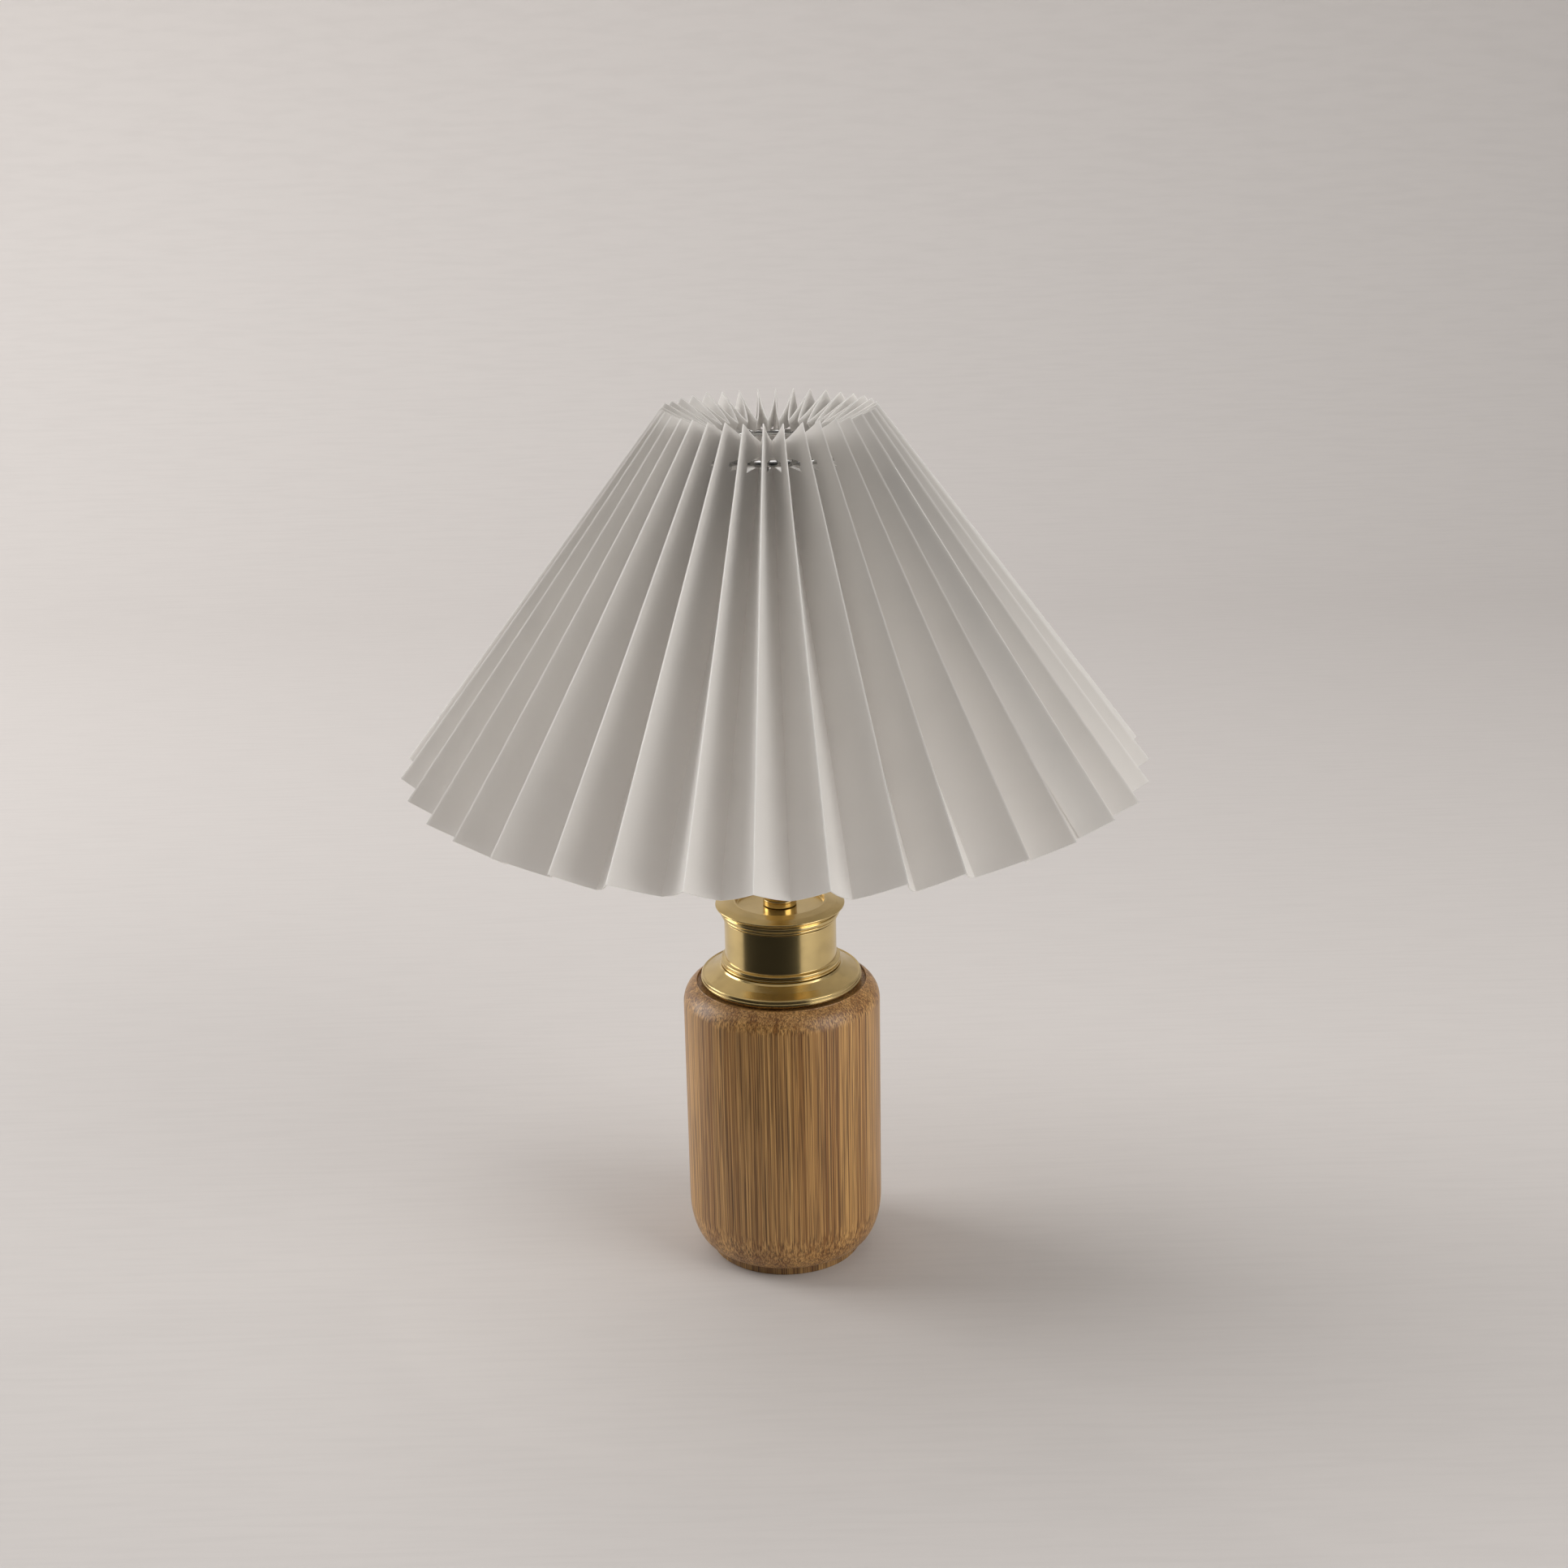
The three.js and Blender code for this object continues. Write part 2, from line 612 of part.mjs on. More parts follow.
const base = new THREE.Group();
add(base, 'foot_disc', footDisc(), darkBamboo);
add(base, 'bamboo_body', bambooBody(), bamboo);
add(base, 'cord_gland', cordGland(), blackPlastic);
add(base, 'tube_washer', tubeWasher(), steel);
add(base, 'tube_nut', hexNut(), steel);
add(base, 'threaded_tube', threadedTube(), steel);

const fittings = new THREE.Group();
add(fittings, 'base_flange', baseFlange(), brass);
add(fittings, 'neck_sleeve', neckSleeve(), brass);
add(fittings, 'top_dish', topDish(), brass);
add(fittings, 'collar_nut', collarNut(), brass);
add(fittings, 'stem_tube', stemTube(), brass);

const holder = new THREE.Group();
add(holder, 'holder_cap', holderCap(), brass);
add(holder, 'holder_skirt', holderSkirt(), brass);
add(holder, 'holder_insert', holderInsert(), glazedCeramic);
add(holder, 'holder_shell', holderShell(), brass);
add(holder, 'holder_contact', holderContact(), brass);
add(holder, 'retaining_ring', retainingRing(), brass);

const lightBulb = new THREE.Group();
add(lightBulb, 'bulb_contact', bulbContact(), steel);
add(lightBulb, 'bulb_insulator', bulbInsulator(), blackGlass);
add(lightBulb, 'bulb_cap', bulbCap(), steel);
add(lightBulb, 'bulb_glass', bulbGlass(), opalGlass);

const shadeGroup = new THREE.Group();
add(shadeGroup, 'shade_carrier', shadeCarrier(), steel);
add(shadeGroup, 'shade_pleats', shadePleats(), pleatedSheet);
add(shadeGroup, 'spacing_thread', spacingThread(), nylon);

lamp.add(base, fittings, holder, lightBulb, shadeGroup);

export default lamp;
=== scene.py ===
"""Table lamp: a turned bamboo body, brass fittings, an opal bulb and a pleated shade on a wire carrier.

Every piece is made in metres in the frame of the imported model, with +Z up and the front towards -Y. Pieces
take their places from the boxes of the model's nodes, and each one rides on the body of the node it replaces.
"""

import json
import math
import random

import bmesh
import bpy
from bpy.props import FloatProperty, FloatVectorProperty, IntProperty, PointerProperty
from mathutils import Matrix, Vector

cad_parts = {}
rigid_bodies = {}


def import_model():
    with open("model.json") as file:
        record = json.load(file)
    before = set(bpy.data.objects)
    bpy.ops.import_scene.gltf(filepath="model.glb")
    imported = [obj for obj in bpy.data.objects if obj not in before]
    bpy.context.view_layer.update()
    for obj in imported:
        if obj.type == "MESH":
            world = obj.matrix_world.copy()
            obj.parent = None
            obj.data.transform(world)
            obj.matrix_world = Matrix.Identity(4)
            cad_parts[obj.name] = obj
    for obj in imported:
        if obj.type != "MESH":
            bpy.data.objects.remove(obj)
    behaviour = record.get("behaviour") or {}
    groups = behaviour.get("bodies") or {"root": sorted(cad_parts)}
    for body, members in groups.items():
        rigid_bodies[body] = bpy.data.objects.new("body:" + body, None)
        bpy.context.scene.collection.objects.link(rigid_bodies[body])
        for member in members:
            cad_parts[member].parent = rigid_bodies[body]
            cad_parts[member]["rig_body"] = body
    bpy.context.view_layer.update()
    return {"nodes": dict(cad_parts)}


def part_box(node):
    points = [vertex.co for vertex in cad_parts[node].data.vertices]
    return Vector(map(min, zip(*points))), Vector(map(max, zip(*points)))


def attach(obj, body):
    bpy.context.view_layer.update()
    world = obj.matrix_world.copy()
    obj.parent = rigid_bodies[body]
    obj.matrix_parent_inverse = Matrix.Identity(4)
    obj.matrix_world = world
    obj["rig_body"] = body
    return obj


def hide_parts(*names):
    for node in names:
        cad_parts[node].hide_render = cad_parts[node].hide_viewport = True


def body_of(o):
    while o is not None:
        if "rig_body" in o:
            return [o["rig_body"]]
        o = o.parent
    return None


bl_info = {
    "name": "Pleated Table Lamp",
    "version": (1, 0, 0),
    "blender": (4, 5, 0),
    "location": "View3D > Sidebar > Lamp",
    "description": "Makes a bamboo and brass table lamp with a pleated shade over its packed frame",
    "category": "Object",
}

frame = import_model()

MM = 0.001
SIDES = 144         # sides of a turned piece
FILLET_STEPS = 5    # steps round each eased corner
SHARP = math.radians(32)

# In millimetres, and the same for several pieces.
GAP = 0.3           # clearance between pieces that touch
TUBE_HOLE = 5.3     # radius of the holes that the threaded tube passes
BRASS_WALL = 1.2    # wall of the turned brass tubes


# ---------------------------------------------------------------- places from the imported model

def low_of(node):
    """The height of a node's underside."""
    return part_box(node)[0][2]


def high_of(node):
    """The height of a node's top."""
    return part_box(node)[1][2]


def tall_of(node):
    """A node's height, in millimetres."""
    return (high_of(node) - low_of(node)) / MM


def reach_of(node):
    """A node's radius about the lamp's axis, in millimetres."""
    return max(math.hypot(v.co.x, v.co.y) for v in frame["nodes"][node].data.vertices) / MM


def above(node, outline):
    """An outline in millimetres, with heights from a node's underside, as metres in the frame."""
    base = low_of(node)
    return [(r * MM, base + z * MM, (easing[0] if easing else 0) * MM) for r, z, *easing in outline]


# ---------------------------------------------------------------- shapes

def eased(outline, closed):
    """The outline's (radius, height, easing) corners, each easing drawn as a short curve."""
    points = []
    for i, (r, z, easing) in enumerate(outline):
        corner = Vector((r, z))
        if easing <= 0 or (not closed and i in (0, len(outline) - 1)):
            points.append(corner)
            continue
        back = Vector(outline[i - 1][:2]) - corner
        ahead = Vector(outline[(i + 1) % len(outline)][:2]) - corner
        run = easing / math.tan(back.angle(ahead) / 2)
        run = min(run, 0.48 * back.length, 0.48 * ahead.length)
        start = corner + back.normalized() * run
        end = corner + ahead.normalized() * run
        for step in range(FILLET_STEPS + 1):
            t = step / FILLET_STEPS
            points.append((1 - t) ** 2 * start + 2 * t * (1 - t) * corner + t * t * end)
    return points


def sweep_arc(cr, cz, rr, rz, start, end, steps):
    """Points on an elliptical arc, from one angle in degrees to another."""
    angles = [math.radians(start + (end - start) * i / steps) for i in range(steps + 1)]
    return [(cr + rr * math.cos(a), cz + rz * math.sin(a)) for a in angles]


def turned(outline, closed=True, sides=SIDES, shaped=None):
    """An outline turned about the lamp's axis. shaped(radius, height, angle) may move each point."""
    shape = bmesh.new()
    rings = []
    for r, z in eased(outline, closed):
        if r < 1e-7:
            rings.append([shape.verts.new((0, 0, z))])
            continue
        ring = []
        for i in range(sides):
            angle = 2 * math.pi * i / sides
            radius, height = shaped(r, z, angle) if shaped else (r, z)
            ring.append(shape.verts.new((radius * math.cos(angle), radius * math.sin(angle), height)))
        rings.append(ring)
    pairs = list(zip(rings, rings[1:]))
    if closed:
        pairs.append((rings[-1], rings[0]))
    for low, high in pairs:
        for i in range(sides):
            j = (i + 1) % sides
            corners = [low[i % len(low)], low[j % len(low)], high[j % len(high)], high[i % len(high)]]
            corners = list(dict.fromkeys(corners))
            if len(corners) > 2:
                shape.faces.new(corners)
    bmesh.ops.recalc_face_normals(shape, faces=shape.faces)
    return shape


def smooth_route(points, steps):
    """A smooth curve through the points of a route, with more steps along each stretch."""
    padded = [2 * points[0] - points[1], *points, 2 * points[-1] - points[-2]]
    route = []
    for p0, p1, p2, p3 in zip(padded, padded[1:], padded[2:], padded[3:]):
        a, b, c = ((q - p).length or 1e-9 for p, q in ((p0, p1), (p1, p2), (p2, p3)))
        m1 = (p2 - p1) + b * ((p1 - p0) / a - (p2 - p0) / (a + b))
        m2 = (p2 - p1) + b * ((p3 - p2) / c - (p3 - p1) / (b + c))
        for step in range(steps):
            t = step / steps
            route.append(
                (2 * t**3 - 3 * t**2 + 1) * p1 + (t**3 - 2 * t**2 + t) * m1
                + (3 * t**2 - 2 * t**3) * p2 + (t**3 - t**2) * m2
            )
    return [*route, points[-1]]


def wire_into(shape, route, radius, closed=False, sides=14):
    """Adds a round wire along a route of points to a shape."""
    count = len(route)
    rings = []
    side = None
    for i, here in enumerate(route):
        before = route[i - 1] if closed or i else here
        after = route[(i + 1) % count] if closed or i < count - 1 else here
        along = (after - before).normalized()
        side = (side or along.orthogonal()) - along * (side or along.orthogonal()).dot(along)
        side.normalize()
        other = along.cross(side)
        angles = [2 * math.pi * k / sides for k in range(sides)]
        rings.append([
            shape.verts.new(here + radius * (math.cos(a) * side + math.sin(a) * other)) for a in angles
        ])
    joins = list(zip(rings, rings[1:]))
    if closed:
        joins.append((rings[-1], rings[0]))
    for low, high in joins:
        for k in range(sides):
            n = (k + 1) % sides
            shape.faces.new((low[k], low[n], high[n], high[k]))
    if not closed:
        shape.faces.new(rings[0][::-1])
        shape.faces.new(rings[-1])


def on_axis(radius, angle, height):
    """The point at a radius, an azimuth and a height about the lamp's axis."""
    return Vector((radius * math.cos(angle), radius * math.sin(angle), height))


def circle_route(radius, height, steps):
    """Points round a level circle about the lamp's axis."""
    return [on_axis(radius, 2 * math.pi * i / steps, height) for i in range(steps)]


def place(name, shape, finish, slot, *nodes):
    """Puts a shape in the scene as a piece that stands for these nodes and rides with the first."""
    data = bpy.data.meshes.new(name)
    shape.to_mesh(data)
    shape.free()
    data.shade_smooth()
    data.set_sharp_from_angle(angle=SHARP)
    data.materials.append(finish)
    piece = bpy.data.objects.new(name, data)
    bpy.context.scene.collection.objects.link(piece)
    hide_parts(*nodes)
    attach(piece, body_of(frame["nodes"][nodes[0]])[0])
    return piece


def turn_piece(name, node, outline, finish, slot, **how):
    """Turns an outline in millimetres above a node's underside, as the piece that stands for the node."""
    return place(name, turned(above(node, outline), **how), finish, slot, node)


def refinish(node, finish):
    """Gives a kept node its finish."""
    materials = frame["nodes"][node].data.materials
    for index in range(len(materials)):
        materials[index] = finish
    if not materials:
        materials.append(finish)


# ---------------------------------------------------------------- finishes

class Amount:
    """A socket of a finish. An expression on amounts adds its Math nodes."""

    def __init__(self, finish, socket):
        self.finish = finish
        self.socket = socket

    def math(self, operation, *others):
        values = dict(enumerate((self, *others)))
        return self.finish.node("ShaderNodeMath", {"operation": operation}, values)

    def __add__(self, other):
        return self.math("ADD", other)

    __radd__ = __add__

    def __sub__(self, other):
        return self.math("SUBTRACT", other)

    def __rsub__(self, other):
        return self * -1 + other

    def __mul__(self, other):
        return self.math("MULTIPLY", other)

    __rmul__ = __mul__

    def __truediv__(self, other):
        return self.math("DIVIDE", other)

    def __rtruediv__(self, other):
        return self ** -1 * other

    def __pow__(self, power):
        return self.math("POWER", power)

    def ramp(self, start, end, low=0.0, high=1.0):
        """low up to start, high from end on, and a smooth step between."""
        return self.finish.node(
            "ShaderNodeMapRange", {"interpolation_type": "SMOOTHSTEP"},
            {"Value": self, "From Min": start, "From Max": end, "To Min": low, "To Max": high},
        )


class Finish:
    """A material in the making, with one Principled shader."""

    def __init__(self, name):
        self.material = bpy.data.materials.new(name)
        self.material.use_nodes = True
        self.tree = self.material.node_tree
        self.shader = self.tree.nodes["Principled BSDF"]

    def node(self, kind, settings=None, values=None, output=0):
        """Adds a node: its settings first, then its sockets' values or links. Returns one output."""
        made = self.tree.nodes.new(kind)
        for key, value in (settings or {}).items():
            if key == "stops":
                elements = made.color_ramp.elements
                while len(elements) < len(value):
                    elements.new(0.5)
                for element, (position, colour) in zip(elements, value):
                    element.position = position
                    element.color = (*colour, 1)
            else:
                setattr(made, key, value)
        self.fill(made, values or {})
        return Amount(self, made.outputs[output])

    def fill(self, node, values):
        """Sets or links a node's input sockets, named or numbered."""
        for key, value in values.items():
            if isinstance(value, Amount):
                self.tree.links.new(value.socket, node.inputs[key])
            else:
                socket = node.inputs[key]
                socket.default_value = (*value, 1) if socket.type == "RGBA" and len(value) == 3 else value

    def place_in_mm(self):
        """The point on the surface in millimetres, in the lamp's frame."""
        point = self.node("ShaderNodeTexCoord", output="Object")
        return self.stretched(point, (1 / MM,) * 3)

    def stretched(self, vector, scale):
        return self.node("ShaderNodeVectorMath", {"operation": "MULTIPLY"}, {0: vector, 1: scale})

    def split(self, vector):
        parts = self.node("ShaderNodeSeparateXYZ", values={"Vector": vector})
        return [Amount(self, socket) for socket in parts.socket.node.outputs]

    def joined(self, x, y, z):
        return self.node("ShaderNodeCombineXYZ", values={"X": x, "Y": y, "Z": z})

    def noise(self, vector, scale=1.0, detail=2.0, roughness=0.5):
        values = {"Vector": vector, "Scale": scale, "Detail": detail, "Roughness": roughness}
        return self.node("ShaderNodeTexNoise", values=values)

    def cells(self, vector):
        """The distance to the nearest of a scatter of points, about one to each unit of the vector."""
        return self.node("ShaderNodeTexVoronoi", values={"Vector": vector, "Scale": 1.0}, output="Distance")

    def mix(self, share, first, second):
        """A colour between two."""
        return self.node("ShaderNodeMix", {"data_type": "RGBA"}, {0: share, 6: first, 7: second}, output=2)

    def bump(self, height, strength, distance):
        """A relief of the given height in metres, for the Normal socket."""
        values = {"Height": height, "Strength": strength, "Distance": distance}
        return self.node("ShaderNodeBump", values=values)

    def let_through(self, share, colour):
        """Lets a share of the light pass through a thin sheet."""
        glow = self.node("ShaderNodeBsdfTranslucent", values={"Color": colour})
        surface = Amount(self, self.shader.outputs[0])
        both = self.node("ShaderNodeMixShader", values={0: share, 1: surface, 2: glow})
        self.tree.links.new(both.socket, self.tree.nodes["Material Output"].inputs["Surface"])

    def done(self, **values):
        """Sets the shader's sockets, named with underscores for spaces, and returns the material."""
        self.fill(self.shader, {key.replace("_", " "): value for key, value in values.items()})
        return self.material


def bamboo_finish(name, pale, deep, fibre_dark):
    """Turned bamboo: fibres that run up the piece, so sides show streaks and shoulders show dashes."""
    if name in bpy.data.materials:
        return bpy.data.materials[name]
    f = Finish(name)
    p = f.place_in_mm()
    drift = f.noise(f.stretched(p, (0.03, 0.03, 0.008)), detail=0.0)
    wander = f.joined(drift * 0.3, drift * -0.3, 0)
    grain = f.node("ShaderNodeVectorMath", {"operation": "ADD"}, {0: p, 1: wander})
    bundles = f.cells(f.stretched(grain, (1.15, 1.15, 0.010)))
    veins = bundles.ramp(0.42, 0.16)
    fine = f.noise(f.stretched(grain, (1.8, 1.8, 0.018)), detail=2.0, roughness=0.7)
    streaks = f.noise(f.stretched(grain, (1.25, 1.25, 0.0025)), detail=2.0)
    strips = f.noise(f.stretched(grain, (0.16, 0.16, 0.001)), detail=1.0)
    tone = streaks.ramp(0.42, 0.58) * 0.6 + strips.ramp(0.35, 0.65) * 0.4
    colour = f.mix(tone, pale, deep)
    colour = f.mix(fine.ramp(0.50, 0.60) * 0.6, colour, fibre_dark)
    colour = f.mix(veins * 0.7, colour, fibre_dark)
    relief = fine * 0.5 + veins * -0.6
    return f.done(
        Base_Color=colour,
        Roughness=0.43 + veins * 0.12,
        Coat_Weight=0.22,
        Coat_Roughness=0.32,
        Normal=f.bump(relief, 0.35, 0.00018),
    )


def brass_finish(name, colour, roughness, lines=0.12):
    """Lacquered satin brass with the fine lines that turning leaves round the piece."""
    if name in bpy.data.materials:
        return bpy.data.materials[name]
    f = Finish(name)
    p = f.place_in_mm()
    x, y, z = f.split(p)
    radius = (x * x + y * y) ** 0.5
    around = y.math("ARCTAN2", x)
    tool_marks = f.noise(f.joined(radius * 4, z * 4, around * 0.5), detail=3.0, roughness=0.7)
    cloud = f.noise(f.stretched(p, (0.09, 0.09, 0.14)), detail=3.0)
    specks = f.cells(f.stretched(p, (0.5, 0.5, 0.5))).ramp(0.09, 0.03)
    dull = tuple(0.62 * c for c in colour)
    tint = f.mix(cloud.ramp(0.35, 0.8) * 0.35, colour, dull)
    tint = f.mix(specks * 0.35, tint, dull)
    return f.done(
        Base_Color=tint,
        Metallic=1.0,
        Roughness=roughness + (cloud - 0.5) * 0.10 + (tool_marks - 0.5) * 0.08,
        Normal=f.bump(tool_marks, lines, 0.00002),
    )


def steel_finish(name, colour, roughness):
    """Plated steel with faint mottling and rub marks."""
    if name in bpy.data.materials:
        return bpy.data.materials[name]
    f = Finish(name)
    p = f.place_in_mm()
    cloud = f.noise(p, scale=0.35, detail=4.0, roughness=0.6)
    rubs = f.noise(f.stretched(p, (3, 3, 0.4)), detail=2.0)
    dull = tuple(0.7 * c for c in colour)
    return f.done(
        Base_Color=f.mix(cloud.ramp(0.4, 0.75) * 0.5, colour, dull),
        Metallic=1.0,
        Roughness=roughness + (rubs - 0.5) * 0.15,
        Normal=f.bump(rubs, 0.15, 0.00002),
    )


def moulded_finish(name, colour, roughness, coat=0.0, grain=1.2, relief=0.00003):
    """Moulded, fired or blown stuff: an even colour with a fine skin."""
    if name in bpy.data.materials:
        return bpy.data.materials[name]
    f = Finish(name)
    p = f.place_in_mm()
    skin = f.noise(p, scale=grain, detail=3.0)
    cloud = f.noise(p, scale=0.06, detail=2.0)
    shade = tuple(0.86 * c for c in colour)
    return f.done(
        Base_Color=f.mix(cloud.ramp(0.3, 0.8) * 0.5, colour, shade),
        Roughness=roughness + (skin - 0.5) * 0.12,
        Coat_Weight=coat,
        Normal=f.bump(skin, 0.2, relief),
    )


def sheet_finish(name, colour, crease_highlight_tint, folds):
    """The shade's pale sheet: a fine mottled skin, whitened folds with a painted highlight along the ridges,
    and faint painted shade where the thread passes.
    """
    if name in bpy.data.materials:
        return bpy.data.materials[name]
    f = Finish(name)
    p = f.place_in_mm()
    x, y, z = f.split(p)
    across = f.node("ShaderNodeAttribute", {"attribute_name": "across"}, output="Fac")
    along = f.node("ShaderNodeAttribute", {"attribute_name": "along"}, output="Fac")
    turn = y.math("ARCTAN2", x) * (folds / (2 * math.pi))
    weave = f.noise(p, scale=3.2, detail=3.0, roughness=0.7)
    mottle = f.noise(f.joined(turn * 0.9, along * 7, z * 0.01), detail=3.0, roughness=0.55)
    # Lighter along the ridges: folds that have whitened, and a painted highlight where the ridge edge catches
    # the light.
    ridge_wear_and_highlight = across.ramp(0.972, 0.995)
    soil = mottle.ramp(0.45, 0.85) * 0.16 + weave.ramp(0.4, 0.8) * 0.07
    # Painted shade: faint dark marks near the valleys at the spacing thread, standing for its holes and its
    # shadow through the sheet.
    thread_line = (along - 0.77).math("ABSOLUTE").ramp(0.028, 0.012)
    thread_shade = thread_line * across.ramp(0.30, 0.16) * across.ramp(0.05, 0.12)
    # The darker tint serves both the random soiling and the painted shade of the thread.
    soil_and_shade_tint = tuple(0.72 * c for c in colour)
    tint = f.mix(soil + thread_shade * 0.22, colour, soil_and_shade_tint)
    tint = f.mix(ridge_wear_and_highlight * 0.7, tint, crease_highlight_tint)
    relief = f.bump(weave, 0.25, 0.00003)
    made = f.done(
        Base_Color=tint,
        Roughness=0.62 - ridge_wear_and_highlight * 0.15,
        Sheen_Weight=0.08,
        Normal=relief,
    )
    f.let_through(0.52, tuple(colour))
    return made


def plain_stage_finish(name, colour, grain):
    """A pale matt ground."""
    f = Finish(name)
    p = f.place_in_mm()
    cloud = f.noise(f.stretched(p, grain), detail=3.0)
    shade = tuple(0.97 * c for c in colour)
    return f.done(Base_Color=f.mix(cloud.ramp(0.35, 0.75), colour, shade), Roughness=0.7)


# ---------------------------------------------------------------- settings

def colour_setting(name, description, default):
    return FloatVectorProperty(
        name=name, description=description, default=default, subtype="COLOR", size=3, min=0, max=1,
    )


class LampFinishSettings(bpy.types.PropertyGroup):
    """Colours of the lamp's materials."""

    bamboo_pale: colour_setting("Bamboo, pale", "The light ground between the fibres", (0.66, 0.375, 0.125))
    bamboo_deep: colour_setting("Bamboo, deep", "The darker strips of the body", (0.27, 0.115, 0.026))
    bamboo_fibre: colour_setting("Bamboo fibre", "The fibre bundles", (0.07, 0.026, 0.006))
    brass: colour_setting("Brass", "The satin brass of the fittings", (0.73, 0.56, 0.26))
    brass_roughness: FloatProperty(
        name="Brass roughness", description="How matt the brass is",
        default=0.20, min=0, max=1, subtype="FACTOR",
    )
    steel: colour_setting("Steel", "The bright wire of the carrier", (0.62, 0.62, 0.61))
    sheet: colour_setting("Sheet", "The shade's pleated sheet", (0.93, 0.918, 0.90))
    # The crease colour stands for whitened folds and for a painted highlight along the ridges.
    sheet_crease_highlight: colour_setting("Creases", "The whitened folds of the sheet", (0.97, 0.965, 0.955))
    opal: colour_setting("Opal glass", "The bulb's globe", (0.86, 0.85, 0.82))
    ceramic: colour_setting("Ceramic", "The insert in the holder", (0.80, 0.77, 0.71))
    black: colour_setting("Black", "The gland and the bulb's insulator", (0.020, 0.019, 0.018))
    ground: colour_setting("Ground", "The floor and the wall behind", (0.66, 0.63, 0.61))


class ShadeSettings(bpy.types.PropertyGroup):
    """Sizes of the pleated sheet that its node doesn't fix."""

    pleats: IntProperty(name="Pleats", description="Ridges round the shade", default=36, min=12, max=90)
    sheet: FloatProperty(
        name="Sheet", description="Thickness of the sheet", default=0.0005, min=0.0001, unit="LENGTH",
    )
    bow: FloatProperty(
        name="Bow", description="How far each panel curves in between its folds",
        default=0.0012, unit="LENGTH",
    )
    wander: FloatProperty(
        name="Wander", description="How unevenly the folds are spaced",
        default=math.radians(0.75), unit="ROTATION",
    )
    stray: FloatProperty(
        name="Stray", description="How far the ridges stray in and out", default=0.0016, unit="LENGTH",
    )
    slot_height: FloatProperty(
        name="Slot", description="Height of the slots that the carrier's ring passes",
        default=0.0036, unit="LENGTH",
    )
    slot_reach: FloatProperty(
        name="Slot reach", description="Radius that the slots are cut out to", default=0.045, unit="LENGTH",
    )
    arm_flare: FloatProperty(
        name="Arm flare", description="How far the carrier's arms bend out to meet its ring",
        default=0.0015, unit="LENGTH",
    )
    seam_turn: FloatProperty(
        name="Seam", description="Where the strip's ends are glued",
        default=math.radians(-42), unit="ROTATION",
    )


class BulbSettings(bpy.types.PropertyGroup):
    """Sizes of the bulb's screw thread."""

    pitch: FloatProperty(
        name="Pitch", description="Rise of the thread in a turn", default=0.00363, unit="LENGTH",
    )
    depth: FloatProperty(
        name="Depth", description="Depth of the rolled thread", default=0.0009, unit="LENGTH",
    )


class StageSettings(bpy.types.PropertyGroup):
    """Camera and lights."""

    eye: FloatVectorProperty(
        name="Eye", description="Where the camera stands", default=(0, -0.989, 0.5596), size=3, unit="LENGTH",
    )
    pitch: FloatProperty(name="Pitch", description="How far it looks down", default=0.324, unit="ROTATION")
    yaw: FloatProperty(name="Yaw", description="How far it looks right", default=0.003, unit="ROTATION")
    roll: FloatProperty(name="Roll", description="How far it tips clockwise", default=0.020, unit="ROTATION")
    lens: FloatProperty(name="Lens", description="Focal length in millimetres", default=53.8, min=10)
    window: FloatProperty(name="Window", description="Power of the window light", default=36, unit="POWER")
    fill: FloatProperty(name="Fill", description="Power of the right-hand light", default=17, unit="POWER")
    ceiling: FloatProperty(
        name="Ceiling", description="Power of the light overhead", default=16, unit="POWER",
    )
    sky: FloatProperty(name="Room", description="Strength of the light from all round", default=0.34, min=0)


def finishes():
    """The lamp's materials by name, made on first use from the colour settings."""
    s = bpy.context.scene.lamp_finish
    brass = tuple(s.brass)
    return {
        "bamboo": bamboo_finish("Bamboo", tuple(s.bamboo_pale), tuple(s.bamboo_deep), tuple(s.bamboo_fibre)),
        "foot": bamboo_finish(
            "Foot bamboo", tuple(0.72 * c for c in s.bamboo_pale), tuple(0.6 * c for c in s.bamboo_deep),
            tuple(0.6 * c for c in s.bamboo_fibre),
        ),
        "brass": brass_finish("Satin brass", brass, s.brass_roughness),
        "steel": steel_finish("Bright steel", tuple(s.steel), 0.18),
        "plated": steel_finish("Plated steel", tuple(0.8 * c for c in s.steel), 0.32),
        "opal": moulded_finish("Opal glass", tuple(s.opal), 0.22, coat=0.5, relief=0.00001),
        "ceramic": moulded_finish("Glazed ceramic", tuple(s.ceramic), 0.3, coat=0.6),
        "black glass": moulded_finish("Black glass", tuple(s.black), 0.15, coat=0.4),
        "black plastic": moulded_finish("Black plastic", tuple(s.black), 0.45),
        "sheet": sheet_finish(
            "Pleated sheet", tuple(s.sheet), tuple(s.sheet_crease_highlight), bpy.context.scene.lamp_shade.pleats,
        ),
        "thread": moulded_finish("Thread", (0.68, 0.64, 0.58), 0.6, grain=6),
    }


# ---------------------------------------------------------------- the base

